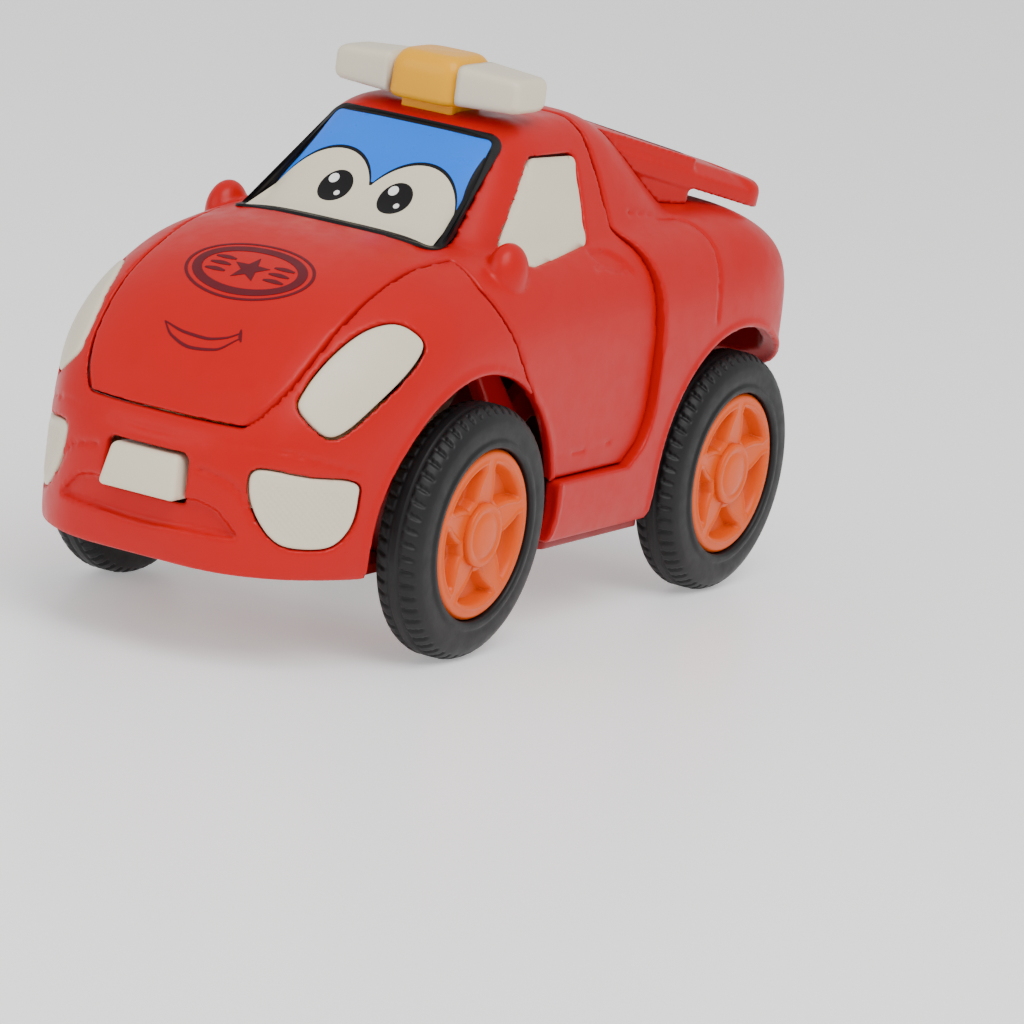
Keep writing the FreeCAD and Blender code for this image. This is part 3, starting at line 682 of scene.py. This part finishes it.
def cabin_form():
    knots = [s[0] for s in CABIN_STATIONS]
    columns = [[s[i] for s in CABIN_STATIONS] for i in (1, 2, 3)]
    turn = np.linspace(0, pi / 2, 8)
    heights = np.concatenate([np.linspace(46, ROOF_Z - 3.0, 40), ROOF_Z - 3.0 + 3.0 * np.sin(turn[1:])])
    insets = np.concatenate([np.zeros(40), 3.0 * (1 - np.cos(turn[1:]))])
    rear, front, half_width = (monotone(knots, column, np.minimum(heights, ROOF_Z)) for column in columns)
    rings = []
    for z, r, f, w, inset in zip(heights, rear, front, half_width, insets):
        x, y = superellipse((f - r) / 2 - inset, w - inset, 4.6, 120)
        rings.append(np.stack([(r + f) / 2 + x, y, np.full(120, z)], axis=1))
    return loft("cabin_form", rings)


def form_data(piece):
    mesh = piece.data
    points = np.empty(len(mesh.vertices) * 3)
    mesh.vertices.foreach_get("co", points)
    points = points.reshape(-1, 3) / MM
    faces = [tuple(p.vertices) for p in mesh.polygons]
    corner = np.empty(len(mesh.vertices) * 3)
    mesh.vertices.foreach_get("normal", corner)
    corner = corner.reshape(-1, 3)
    normals = np.array([corner[list(face)].mean(axis=0) for face in faces])
    normals /= np.linalg.norm(normals, axis=1)[:, None]
    return {"tree": BVHTree.FromPolygons(points.tolist(), faces), "normals": normals}


def whole_form(name, flare):
    form = merged(name, [lower_form(flare), cabin_form()])
    remeshed(form, 0.75, 7)
    return form


body_form = whole_form("body_form", 0.0)
rear_form = whole_form("rear_form", REAR_FLARE)
FORM = form_data(body_form)
REAR = form_data(rear_form)

# Where the lamps, windows and prints lie: origin, direction of view and direction along each
HEAD_AT = ((47.2, 22.0, 41.2), (0.62, 0.52, 0.58), (-0.68, 0.15, 0.70))
FOG_AT = ((54.1, 20.0, 22.2), (0.75, 0.66, 0.0), (0.66, -0.75, 0.0))
SCREEN_AT = ((12.7, 0.0, 60.65), (0.68, 0.0, 0.73), (0.0, 1.0, 0.0))
SIDE_AT = ((0.0, 20.0, 60.0), (0.0, 1.0, 0.0), (1.0, 0.0, 0.0))
GRILLE_AT = ((63.0, 0.0, 20.0), (1.0, 0.0, 0.0), (0.0, 1.0, 0.0))
BONNET_AT = ((43.3, 0.0, 50.4), (0.45, 0.0, 0.89), (0.0, 1.0, 0.0))
SMILE_AT = ((54.5, 0.0, 42.5), (0.8, 0.0, 0.6), (0.0, 1.0, 0.0))

head_outline = closed_curve(plane_of(HEADLIGHT, *HEAD_AT))
fog_outline = closed_curve(plane_of(FOG_LAMP, *FOG_AT))
screen_outline = np.array(rounded_outline(plane_of(WINDSCREEN, *SCREEN_AT), 1.6))
side_outline = rounded_outline(plane_of([(x, 20, z) for x, z in SIDE_WINDOW], *SIDE_AT), 1.3)


def seam_outline():
    top = curve_through(REAR_SEAM[:4], 12)
    rest = curve_through(REAR_SEAM[3:], 40)
    return [tuple(p) for p in np.concatenate([top[:-1], rest])]


def region(outline, gap):
    """A side prism grown by a gap."""
    return side_prism("region", grown(outline, gap) if gap else outline)


def rear_prism(gap):
    ends = [(DOOR_FRONT_X, SILL_TOP), (DOOR_FRONT_X, 0), (-80, 0), (-80, 90), (-20.5, 90)]
    return region(seam_outline() + ends, gap)


def clip_prism(gap):
    seam = [(DOOR_SEAM[0][0], 90)] + [tuple(p) for p in curve_through(DOOR_SEAM, 30)]
    side = region(seam + [(6.0, 0), (80, 0), (80, 90)], gap)
    edge = [(x, y - gap) for x, y in curve_through(BONNET_EDGE, 40)]
    edge.append((-20, edge[-1][1]))
    outline = edge + [(x, -y) for x, y in reversed(edge)]
    ring = [(x, y, 0) for x, y in outline]
    lid = bar_along("lid", ring, (0, 0, BONNET_FRONT_Z + gap), (0, 0, 95))
    carve(side, lid)
    return side


def both(maker):
    """A cutter and its mirror image as one mesh."""
    left = maker()
    return merged("cutters", [left, mirrored(left, "right")])


def arch_lip(form, x):
    """A rolled edge around a wheel arch."""
    path = []
    for a in np.linspace(radians(-9), radians(189), 60):
        reach = ARCH_R + 0.3
        start = Vector((x + reach * cos(a), 60, TYRE_R + reach * sin(a)))
        hit = form["tree"].ray_cast(start, Vector((0, -1, 0)))[0]
        if hit is not None and hit.y > 20:
            path.append((hit.x, hit.y - 0.25, hit.z))
    return tube("lip", path, 0.6)


def walled(form, data, name, thickness):
    """A form hollowed to a moulded wall, open below and at the wheels."""
    skin = copy_of(form, name)
    wall = skin.modifiers.new("wall", "SOLIDIFY")
    wall.thickness = thickness * MM
    wall.offset = -1
    settle(skin)
    carve(skin, block("under", (-90, -45, -20), (90, 45, SHELL_BOTTOM), 0.01, 1))
    for x in (FRONT_X, REAR_X):
        ring = ring_at(ARCH_R, around(96), centre=(x, TYRE_R))
        carve(skin, bar_along("arch", ring, (0, -45, 0), (0, 45, 0)))
        for side in (1, -1):
            lip = arch_lip(data, x)
            if side < 0:
                lip.data.transform(Matrix.Scale(-1, 4, (0, 1, 0)))
                lip.data.flip_normals()
            carve(skin, lip, "UNION")
    return skin


def groove(shell, data, points, radius):
    """A shallow moulded line on both sides of the car."""
    path = [tuple(data["tree"].find_nearest(Vector(p))[0]) for p in curve_through(points, 50)]
    carve(shell, both(lambda: tube("line", path, radius, 8)))


def recess(shell, outline, place, depth):
    """A shallow hollow with a flat floor that follows the form."""
    carve(shell, panel("recess", outline, on_form(FORM, *place), 3.0, 3.0 + depth, spacing=1.0))


def add_lugs(shell, outline, low_y, high_y, web):
    """Bored hinge plates inside a shell, tied to its walls by webs."""
    plate = [(x, 0, z) for x, z in outline]
    eye = ring_at(3.0, around(48), centre=HINGE)
    bore = ring_at(LUG_BORE, around(48), centre=HINGE)
    (x0, z0, x1, z1), reach = web
    for side in (1, -1):
        for ring, near, far, operation in ((plate, low_y, high_y, "UNION"), (eye, low_y, high_y, "UNION"),
                                           (bore, 12, 25, "DIFFERENCE")):
            carve(shell, bar_along("lug", ring, (0, side * near, 0), (0, side * far, 0)), operation)
        near, far = sorted((side * low_y, side * reach))
        carve(shell, block("web", (x0, near, z0), (x1, far, z1), 0.3), "UNION")


def build_shells():
    rear = walled(rear_form, REAR, "rear_shell", REAR_WALL)
    groove(rear, REAR, FENDER_LINE, 0.45)
    carve(rear, rear_prism(0), "INTERSECT")
    cab = walled(body_form, FORM, "cab_shell_look", WALL)
    # Each opening is a little larger than the lamp or window that fills it
    carve(cab, both(lambda: hole_cutter(grown(head_outline, 0.15), *HEAD_AT)))
    carve(cab, both(lambda: hole_cutter(grown(fog_outline, 0.15), *FOG_AT, near=-8, far=8)))
    carve(cab, hole_cutter(grown(screen_outline, 0.15), *SCREEN_AT, near=-5, far=6))
    carve(cab, both(lambda: hole_cutter(grown(side_outline, 0.15), *SIDE_AT, near=-10, far=14)))
    carve(cab, block("button_slot", (50, -6.5, 21.7), (80, 6.5, 28.7), 1.0))
    clip = copy_of(cab, "clip_shell")
    carve(clip, clip_prism(0), "INTERSECT")
    grille = [(63, y, z) for y, z in GRILLE] + [(63, -y, z) for y, z in reversed(GRILLE[1:-1])]
    recess(clip, rounded_outline(plane_of(grille, *GRILLE_AT), 0.8), GRILLE_AT, 0.9)
    groove(clip, FORM, GRILLE_LINE, 0.45)
    groove(clip, FORM, BUMPER_LINE, 0.35)
    add_lugs(clip, CLIP_LUG, 20.3, 22.6, ((19.0, 40.4, 23.0, 43.8), 27.4))
    carve(cab, rear_prism(SEAM))
    roof_gap = rear_prism(ROOF_SEAM)
    carve(roof_gap, block("below_roof", (-90, -50, -20), (90, 50, ROOF_SEAM_Z), 0.01, 1))
    carve(cab, roof_gap)
    carve(cab, clip_prism(SEAM))
    handle = rounded_outline(plane_of([(x, 25, z) for x, z in HANDLE], *SIDE_AT), 0.8)
    dent = panel("dent", handle, on_form(FORM, *SIDE_AT), 3.0, 3.5, spacing=1.0)
    carve(cab, merged("dents", [dent, mirrored(dent, "dent_right")]))
    groove(cab, FORM, HANDLE_LINE, 0.5)
    groove(cab, FORM, DOOR_LINE, 0.35)
    for side in (1, -1):
        carve(cab, ball("mirror", (MIRROR[0], side * MIRROR[1], MIRROR[2]), (3.9, 2.73, 4.5)), "UNION")
    add_lugs(cab, CAB_LUG, 17.6, 19.8, ((-9.0, 29.0, -5.0, 35.0), 27.0))
    return rear, clip, cab


rear_shell, clip_shell, cab_shell = build_shells()
for shell, name, body, node in ((rear_shell, "rear_body_shell", "chassis", "rear_body"),
                                (clip_shell, "front_clip_shell", "clip", "front_clip"),
                                (cab_shell, "cab_body_shell", "cab", "cab_shell")):
    remeshed(shell, SHELL_CELL, 2, SHELL_FACES)
    shell.name = name
    finished(shell, body, RED, (node,))


# ---------------------------------------------------------------- lamps and windows

def paired(piece, stem, body, look, node):
    twin = mirrored(piece, stem + "_right_look")
    finished(piece, body, look, (node + "_left",))
    finished(twin, body, look, (node + "_right",))


head_lamp = panel("headlight_left_look", head_outline, on_form(FORM, *HEAD_AT), 0.15, 1.5, round_by=0.7)
paired(head_lamp, "headlight", "clip", IVORY, "headlight")


def diamonds(flat):
    """A fine diamond pattern moulded into the lens."""
    a = np.abs(((flat[:, 0] + flat[:, 1]) / 0.9) % 1 - 0.5)
    b = np.abs(((flat[:, 0] - flat[:, 1]) / 0.9) % 1 - 0.5)
    return 0.16 * (np.minimum(a, b) * 2) * np.clip(edge_distance(flat, fog_outline) - 0.8, 0, 1)


fog_lamp = panel("fog_lamp_left_look", fog_outline, on_form(FORM, *FOG_AT), 0.0, 1.4, round_by=0.5,
                 spacing=0.15, relief=diamonds)
paired(fog_lamp, "fog_lamp", "clip", IVORY, "fog_lamp")
side_glass = panel("side_window_left_look", side_outline, on_form(FORM, *SIDE_AT), 0.15, 1.4, round_by=0.6)
paired(side_glass, "side_window", "cab", IVORY, "side_window")

SCREEN = on_patch(FORM, SCREEN_AT, screen_outline)
screen_base = panel("windscreen_look", screen_outline, SCREEN, 0.15, 1.4, round_by=0.5, spacing=0.6)
finished(screen_base, "cab", BLACK_INK, ("windscreen",))
finished(panel("screen_edge", grown(screen_outline, 0.55), SCREEN, 0.2, 0.3, spacing=0.6,
               holes=[grown(screen_outline, -0.5)]), "cab", BLACK_INK)


def dome_line(u):
    """Height of the two rounded eye shapes above the middle of the screen."""
    share = np.clip(1 - ((np.abs(u) - 6.9) / 7.7) ** 2, 0, 1)
    return -6.5 + 10.2 * np.sqrt(share)


def screen_panels():
    """The light area under the eye line and the blue area above it."""
    inner = grown(screen_outline, -0.75)
    u = np.linspace(-14.4, 14.4, 90)
    top_line = dome_line(u)
    lower = np.array([p for p in inner if p[1] < -6.9])
    lower = lower[np.argsort(lower[:, 0])]
    keep = np.abs(u) < np.interp(top_line, [-11.6, 11.6], [15.3, 12.5])
    ivory = np.concatenate([np.stack([u[keep], top_line[keep] - 0.32], axis=1), lower[::-1]])
    upper = np.array([p for p in inner if p[1] > -5.9])
    upper = upper[np.argsort(-np.arctan2(upper[:, 1] + 30, upper[:, 0]))]
    blue = np.concatenate([np.stack([u[keep], top_line[keep] + 0.32], axis=1), upper[::-1]])
    return ivory, blue


def printed(name, outline, surface, body, look, lift=INK_LIFT, spacing=0.5, holes=()):
    """Ink on a surface."""
    finished(panel(name, outline, surface, lift, INK_DEPTH, spacing=spacing, holes=holes), body, look)


ivory_area, blue_area = screen_panels()
printed("screen_ivory", ivory_area, SCREEN, "cab", IVORY, 0.21, 0.8)
printed("screen_blue", blue_area, SCREEN, "cab", BLUE_INK, 0.21, 0.8)


def ellipse(u, v, a, b, count=36, tilt=0.0):
    turn = around(count)
    x = a * np.cos(turn)
    y = b * np.sin(turn)
    return np.stack([u + x * cos(tilt) - y * sin(tilt), v + x * sin(tilt) + y * cos(tilt)], axis=1)


for side, u in (("left", 4.9), ("right", -4.9)):
    printed("pupil_" + side, ellipse(u, -3.3, 2.5, 3.0), SCREEN, "cab", BLACK_INK, 0.27)
    printed("glint_" + side, ellipse(u - 0.9, -2.0, 0.75, 0.85), SCREEN, "cab", WHITE_INK, 0.33)
    printed("spark_" + side, ellipse(u + 0.9, -4.5, 0.42, 0.48), SCREEN, "cab", WHITE_INK, 0.33)


def bonnet_prints():
    """A plain line smile and a textless oval badge."""
    face = on_form(FORM, *SMILE_AT)
    left_end = (53.6, -6.0, 43.3)
    upper = (left_end, (54.4, -2.1, 42.6), (54.6, 1.2, 42.5), (54.0, 4.0, 43.0), (53.0, 5.9, 44.0))
    lower = (left_end, (55.1, -3.7, 41.9), (55.9, -0.1, 41.1), (55.5, 3.6, 41.5), (53.7, 6.0, 43.2))
    corner = ((52.7, 5.5, 44.4), (53.3, 5.9, 43.6), (53.9, 6.5, 42.9))
    for i, line in enumerate((upper, lower, corner)):
        printed("smile_%d" % i, stroke(plane_of(line, *SMILE_AT), 0.45), face, "cab", DARK_INK)
    badge = on_form(FORM, *BONNET_AT)
    bands = (("badge_ring", (9.8, 6.6), (9.35, 6.2)), ("badge_band", (8.7, 5.6), (7.3, 4.3)))
    for name, outer, inner in bands:
        printed(name, ellipse(0, 0, *outer, 72), badge, "cab", DARK_INK, holes=[ellipse(0, 0, *inner, 72)])
    star = []
    for k in range(10):
        reach = 2.9 if k % 2 == 0 else 1.25
        star.append((reach * sin(k * pi / 5), reach * cos(k * pi / 5)))
    printed("badge_star", star, badge, "cab", DARK_INK)
    for side, name in ((1, "left"), (-1, "right")):
        for i in range(3):
            level = 1.5 - 1.5 * i
            bar = stroke([(side * 3.1, level), (side * 4.6, level + 0.1), (side * 6.3, level)], 0.8)
            printed("badge_bar_%d_%s" % (i, name), bar, badge, "cab", DARK_INK)


bonnet_prints()


# ---------------------------------------------------------------- light bar, spoiler and plate

def superellipse_ring(centre, half_a, half_b, power, axis, count=64):
    """A rounded rectangle across one axis."""
    u, v = superellipse(half_a, half_b, power, count)
    flat = np.zeros(count)
    parts = {"y": (u, flat, v), "z": (u, v, flat)}[axis]
    return np.asarray(centre, float) + np.stack(parts, axis=1)


def light_bar():
    turn = np.linspace(0, pi / 2, 9)
    rings = []
    for a in turn:
        half = 5.0 + 0.8 * sin(a)
        rings.append(superellipse_ring((-1.2, 0, 72.2 - 1.0 * cos(a)), half, half, 5.0, "z"))
    for a in turn:
        rings.append(superellipse_ring((-1.2, 0, 75.0 + 3.2 * sin(a)), 5.8 - 2.3 * (1 - cos(a)),
                                       5.8 - 1.9 * (1 - cos(a)), 4.5, "z"))
    base = [loft("dome", rings), block("foot", (-6.0, -4.3, ROOF_Z - 0.8), (2.0, 4.3, 72.6), 0.5)]
    finished(merged("light_bar_look", base), "cab", YELLOW, ("light_bar_base",))
    rings = []
    for share in np.linspace(0, 1, 12):
        rings.append(superellipse_ring((-1.0, 5.7 + 8.4 * share, 74.4 - 0.1 * share), 5.3 - 0.9 * share,
                                       3.0 - 0.5 * share, 6.5, "y"))
    for a in turn[1:]:
        rings.append(superellipse_ring((-1.0, 14.1 + 1.1 * sin(a), 74.3), 4.4 - 1.0 * (1 - cos(a)),
                                       2.5 - 1.0 * (1 - cos(a)), 5.0, "y"))
    paired(loft("light_lens_left_look", rings), "light_lens", "cab", IVORY, "light_lens")


def spoiler():
    place = ((-43.25, 0, 63.0), (-0.232, 0, 0.973), (1, 0, 0))
    outline = rounded_outline([(19.8, -13.2), (19.8, 13.2), (-19.8, 22.8), (-19.8, -22.8)], 4.5, 12)
    bend = on_plane(*place)

    def drooping(flat):
        base, normal = bend(flat)
        edge = 13.2 + 0.2424 * (19.8 - flat[:, 0])
        base[:, 2] -= 2.3 * (np.abs(flat[:, 1]) / edge) ** 2.4
        return base, normal
    wing = panel("spoiler_top", outline, drooping, 2.0, 3.7, round_by=1.5, spacing=0.8)
    root = rounded_outline([(19.0, -12.8), (19.0, 12.8), (-3.7, 18.5), (-3.7, -18.5)], 1.2)
    web = panel("spoiler_root", root, bend, 0.6, 12.0, spacing=2.0)
    dimple = panel("dimple", ellipse(-14.0, 15.5, 1.3, 2.2, tilt=0.25), drooping, 5.0, 4.0, spacing=0.6)
    carve(wing, merged("dimples", [dimple, mirrored(dimple, "dimple_right")]))
    carve(wing, web, "UNION")
    carve(wing, rear_form, keep=True)
    remeshed(wing, 0.35, 2, 90000)
    finished(wing, "chassis", RED, ("spoiler",))
    print_area = rounded_outline([(11.0, -9.0), (11.0, 9.0), (-9.0, 14.0), (-12.0, 0.0), (-9.0, -14.0)], 3.0)
    slots = [rounded_outline([(7.6 - 4.6 * i, -7.0 - i), (7.6 - 4.6 * i, 7.0 + i),
                              (6.0 - 4.6 * i, 7.4 + i), (6.0 - 4.6 * i, -7.4 - i)], 0.7) for i in range(4)]
    printed("spoiler_print", print_area, drooping, "chassis", DARK_INK, 2.0 + INK_LIFT, 0.8, slots)


light_bar()
spoiler()
finished(merged("plate_button", [wedge("face", ((58.4, 65.9, 6.25, 22.2), (58.4, 64.6, 5.4, 28.2)), 0.9),
                                 block("stem", (51.0, -2.5, 23.6), (61.0, 2.5, 26.6), 0.4)]),
         "button", IVORY, ("impact_button",))


# ---------------------------------------------------------------- wheels

def tyre_mesh():
    """A tyre with a bead ring on its sidewall, shoulder lugs and two grooves beside a centre rib."""
    outer = ((12.15, 3.1), (12.2, 3.65), (12.6, 3.9), (13.2, 3.9), (13.5, 3.65), (14.4, 3.7), (15.6, 3.6),
             (16.5, 3.3), (17.2, 2.8), (17.65, 2.1), (17.9, 1.3), (17.9, 0.0))
    knots = curve_through(outer, 34)
    profile = np.concatenate([knots, (knots * (1, -1))[::-1][1:]])
    columns = 560
    turn = around(columns)
    rings = []
    middle = TYRE_OUT_Y - TYRE_WIDTH / 2
    for radius, y in profile:
        cut = np.zeros(columns)
        if radius > 16.9:
            phase = (turn * 56 / (2 * pi) + 0.3 * np.sign(y) + 0.12 * y) % 1
            lug = np.clip(np.minimum(phase, 0.62 - phase) / 0.12, -1, 1)
            side = np.clip((abs(y) - 1.1) / 0.25, 0, 1) * np.clip((3.1 - abs(y)) / 0.4, 0, 1)
            rib = 1 - np.clip(abs(abs(y) - 0.9) / 0.22, 0, 1)
            cut = 0.42 * np.clip(-lug, 0, 1) * side + 0.4 * rib
        rings.append(ring_at(radius - cut, turn, middle + y))
    n = len(rings)
    faces = []
    for i in range(n):
        for j in range(columns):
            k = (j + 1) % columns
            a = i * columns
            b = ((i + 1) % n) * columns
            faces.append((a + j, a + k, b + k, b + j))
    piece = new_piece("tyre_form", np.concatenate(rings), faces)
    face_out(piece)
    return piece


def rim_mesh():
    """A dished wheel centre with five pockets between its spokes."""
    turn = around(360)
    spans = (np.linspace(0.3, 4.0, 8), np.linspace(4.2, 10.6, 44), np.linspace(10.8, 12.0, 10))
    radii = np.concatenate(spans)
    rings = []
    for r in radii:
        phase = (turn + pi / 2 + pi / 5) % (2 * pi / 5) - pi / 5
        half = 0.10 + 0.40 * np.clip((r - 4.6) / 4.6, 0, 1) ** 0.8
        depth = np.minimum(np.minimum((half - np.abs(phase)) * r, (r - 5.1) * 0.9), 10.0 - r)
        share = np.clip(depth / 0.75, 0, 1)
        dish = 1.9 * share * share * (3 - 2 * share)
        ridge = 0.35 * np.clip(1 - np.abs(depth + 0.35) / 0.35, 0, 1)
        lip = 0.6 * np.clip((r - 11.3) / 0.7, 0, 1) ** 2
        hollow = 0.5 * np.clip((10.4 - r) / 5.0, 0, 1)
        y = RIM_OUT_Y - dish + ridge * 0.5 - lip - hollow
        rings.append(ring_at(r, turn, y))
    inner_y = TYRE_OUT_Y - TYRE_WIDTH + 0.4
    back = ((12.0, 0.4), (11.6, 0.0), (10.4, 0.0), (10.2, 2.2), (3.2, 2.2), (3.0, 0.2), (1.4, 0.0))
    for r, y in back:
        rings.append(ring_at(r, turn, inner_y + y))
    piece = loft("rim_form", rings)
    creased(piece, 45)
    return piece


def cap_mesh():
    """A round hub cap with a ring pressed into its face."""
    rings = []
    for r, y in ((4.5, -0.8), (4.5, 0.15), (4.35, 0.35), (4.1, 0.42), (3.6, 0.44), (3.4, 0.30), (3.1, 0.30),
                 (2.9, 0.46), (2.0, 0.56), (1.0, 0.62), (0.2, 0.63)):
        rings.append(ring_at(r, around(72), RIM_OUT_Y + y))
    return loft("cap_form", rings)


def add_wheels():
    forms = (("tyre", tyre_mesh(), RUBBER, "tyre"), ("rim", rim_mesh(), ORANGE, "orange"),
             ("hub_cap", cap_mesh(), ORANGE, "orange"))
    for part, form, look, slot in forms:
        for end, x in (("front", FRONT_X), ("rear", REAR_X)):
            for side in ("left", "right"):
                node = "_".join((end, side, part))
                wheel = copy_of(form, node + "_look") if side == "left" else mirrored(form, node + "_look")
                wheel.data.transform(Matrix.Translation((x * MM, 0, TYRE_R * MM)))
                finished(wheel, end + "_wheels", look, (node,))
        drop(form)


add_wheels()


# ---------------------------------------------------------------- robot

# The robot lies face down in the closed car
FACING_DOWN = (0, 0, -1)
FORWARD = (1, 0, 0)


def ink_bar(name, centre, size, round_by=0.2):
    """A small printed bar on the robot's face or chest."""
    a, b = size
    corners = [(-a / 2, -b / 2), (a / 2, -b / 2), (a / 2, b / 2), (-a / 2, b / 2)]
    outline = rounded_outline(corners, round_by, 4)
    printed(name, outline, on_plane(centre, FACING_DOWN, FORWARD), "cab", BLACK_INK, spacing=1.0)


def side_blocks(x, y, z, round_by):
    """The same block on both sides, from its range along each axis."""
    blocks = []
    for side in (1, -1):
        low_y, high_y = sorted((side * y[0], side * y[1]))
        blocks.append(block("side", (x[0], low_y, z[0]), (x[1], high_y, z[1]), round_by))
    return blocks


def robot():
    chest = [block("core", (33.0, -14.6, 35.4), (42.6, 14.6, 43.0), 1.2),
             block("keel", (33.2, -1.3, 33.7), (42.4, 1.3, 37.0), 0.5)]
    chest += side_blocks((35.2, 42.5), (2.0, 13.8), (33.2, 37.0), 0.9)
    chest += side_blocks((39.4, 42.6), (10.6, 14.6), (34.2, 41.0), 0.8)
    finished(merged("robot_chest_look", chest), "cab", YELLOW, ("robot_chest",))
    for side, name in ((1, "left"), (-1, "right")):
        for i in range(5):
            ink_bar("grille_%d_%s" % (i, name), (39.0, side * (5.0 + 1.3 * i), 33.2), (5.2 - 0.5 * i, 0.55))
    torso = [block("belly", (15.0, -7.4, 31.6), (33.4, 7.4, 43.0), 1.4),
             block("waist", (17.0, -4.2, 30.5), (24.0, 4.2, 33.0), 0.7),
             block("ribs_low", (24.8, -6.0, 30.8), (28.4, 6.0, 33.0), 0.7),
             block("ribs_high", (29.2, -6.6, 30.8), (32.8, 6.6, 33.0), 0.7)]
    torso += side_blocks((16.0, 32.0), (6.4, 8.2), (33.0, 41.0), 0.7)
    finished(merged("robot_torso_look", torso), "cab", YELLOW, ("robot_torso",))
    head = [block("helmet", (44.0, -5.8, 32.4), (54.0, 5.8, 38.4), 1.8),
            block("face", (44.6, -4.2, 31.0), (50.4, 4.2, 34.0), 0.9),
            block("brow", (50.0, -5.2, 30.9), (52.6, 5.2, 34.0), 0.8),
            block("crest", (49.6, -1.1, 30.6), (54.0, 1.1, 36.0), 0.6),
            block("chin", (43.4, -2.6, 31.2), (45.6, 2.6, 34.4), 0.6),
            block("neck", (41.9, -3.0, 34.0), (44.8, 3.0, 38.0), 0.5)]
    head += side_blocks((46.0, 51.4), (5.2, 7.0), (33.0, 37.6), 0.7)
    finished(merged("robot_head_look", head), "cab", YELLOW, ("robot_head",))
    for side, name in ((1, "left"), (-1, "right")):
        ink_bar("robot_eye_" + name, (48.7, side * 2.1, 31.0), (1.3, 2.4), round_by=0.5)
        ink_bar("robot_cheek_" + name, (46.4, side * 3.1, 31.0), (1.8, 0.5))
    for i in range(3):
        ink_bar("robot_mouth_%d" % i, (45.6, 0.9 * (i - 1), 31.0), (1.3, 0.4))


robot()


# ---------------------------------------------------------------- mechanism

def softened(node, size=0.3, smoothing=2, limit=60000):
    """A CAD node's mesh with its moulded edges rounded."""
    source = frame["nodes"][node]
    mesh = source.data.copy()
    mesh.transform(source.matrix_world)
    piece = bpy.data.objects.new(node + "_look", mesh)
    bpy.context.scene.collection.objects.link(piece)
    remeshed(piece, size, smoothing, limit)
    slot = NODE_SLOT[node]
    return finished(piece, NODE_BODY[node], SLOT_LOOK[slot], (node,))


SOFTENED = ("chassis_pan", "front_axle_block", "bottom_cover", "lift_tower", "inner_bulkhead",
            "gearbox_left", "gearbox_right", "lift_arm", "leg_left", "leg_right", "clip_carrier",
            "latch_hook", "robot_spine")
for node in SOFTENED:
    softened(node)
for node, source in frame["nodes"].items():
    source.data.materials.clear()
    source.data.materials.append(SLOT_LOOK[NODE_SLOT[node]])
drop(body_form)
drop(rear_form)


# ---------------------------------------------------------------- camera, floor and lights

def add_camera():
    azimuth = radians(CAMERA_AZIMUTH)
    elevation = radians(CAMERA_ELEVATION)
    roll = radians(CAMERA_ROLL)
    back = Vector((sin(azimuth) * cos(elevation), -cos(azimuth) * cos(elevation), sin(elevation)))
    right = Vector((0, 0, 1)).cross(back).normalized()
    above = back.cross(right)
    screen_right = right * cos(roll) + above * sin(roll)
    screen_up = above * cos(roll) - right * sin(roll)
    data = bpy.data.cameras.new("photo_camera")
    data.lens = CAMERA_LENS
    data.sensor_width = 36
    data.clip_start = 0.01
    camera = bpy.data.objects.new("photo_camera", data)
    place = Matrix((screen_right, screen_up, back)).transposed().to_4x4()
    place.translation = CAMERA_TARGET + back * CAMERA_DISTANCE
    camera.matrix_world = place
    bpy.context.scene.collection.objects.link(camera)
    bpy.context.scene.camera = camera


def add_floor():
    mesh = bpy.data.meshes.new("floor")
    size = 6.0
    corners = [(-size, -size, 0), (size, -size, 0), (size, size, 0), (-size, size, 0)]
    mesh.from_pydata(corners, [], [(0, 1, 2, 3)])
    floor = bpy.data.objects.new("floor", mesh)
    bpy.context.scene.collection.objects.link(floor)
    material = bpy.data.materials.new("floor")
    material.use_nodes = True
    shader = material.node_tree.nodes["Principled BSDF"]
    shader.inputs["Base Color"].default_value = (0.93, 0.93, 0.93, 1)
    shader.inputs["Roughness"].default_value = 0.35
    shader.inputs["Emission Color"].default_value = (1, 1, 1, 1)
    shader.inputs["Emission Strength"].default_value = 0.35
    mesh.materials.append(material)


def add_area(name, place, target, size, power):
    data = bpy.data.lights.new(name, "AREA")
    data.shape = "RECTANGLE"
    data.size = size[0]
    data.size_y = size[1]
    data.energy = power
    light = bpy.data.objects.new(name, data)
    light.location = place
    light.rotation_euler = (Vector(target) - Vector(place)).to_track_quat("-Z", "Y").to_euler()
    bpy.context.scene.collection.objects.link(light)


def add_lights():
    world = bpy.data.worlds.new("studio")
    world.use_nodes = True
    world.node_tree.nodes["Background"].inputs["Color"].default_value = (1, 1, 1, 1)
    world.node_tree.nodes["Background"].inputs["Strength"].default_value = 0.8
    bpy.context.scene.world = world
    add_area("key", (0.25, 0.35, 0.65), (0, 0, 0.03), (0.5, 0.5), 4.5)
    add_area("fill", (0.65, -0.35, 0.35), (0, 0, 0.03), (0.6, 0.4), 1.2)


add_camera()
add_floor()
add_lights()
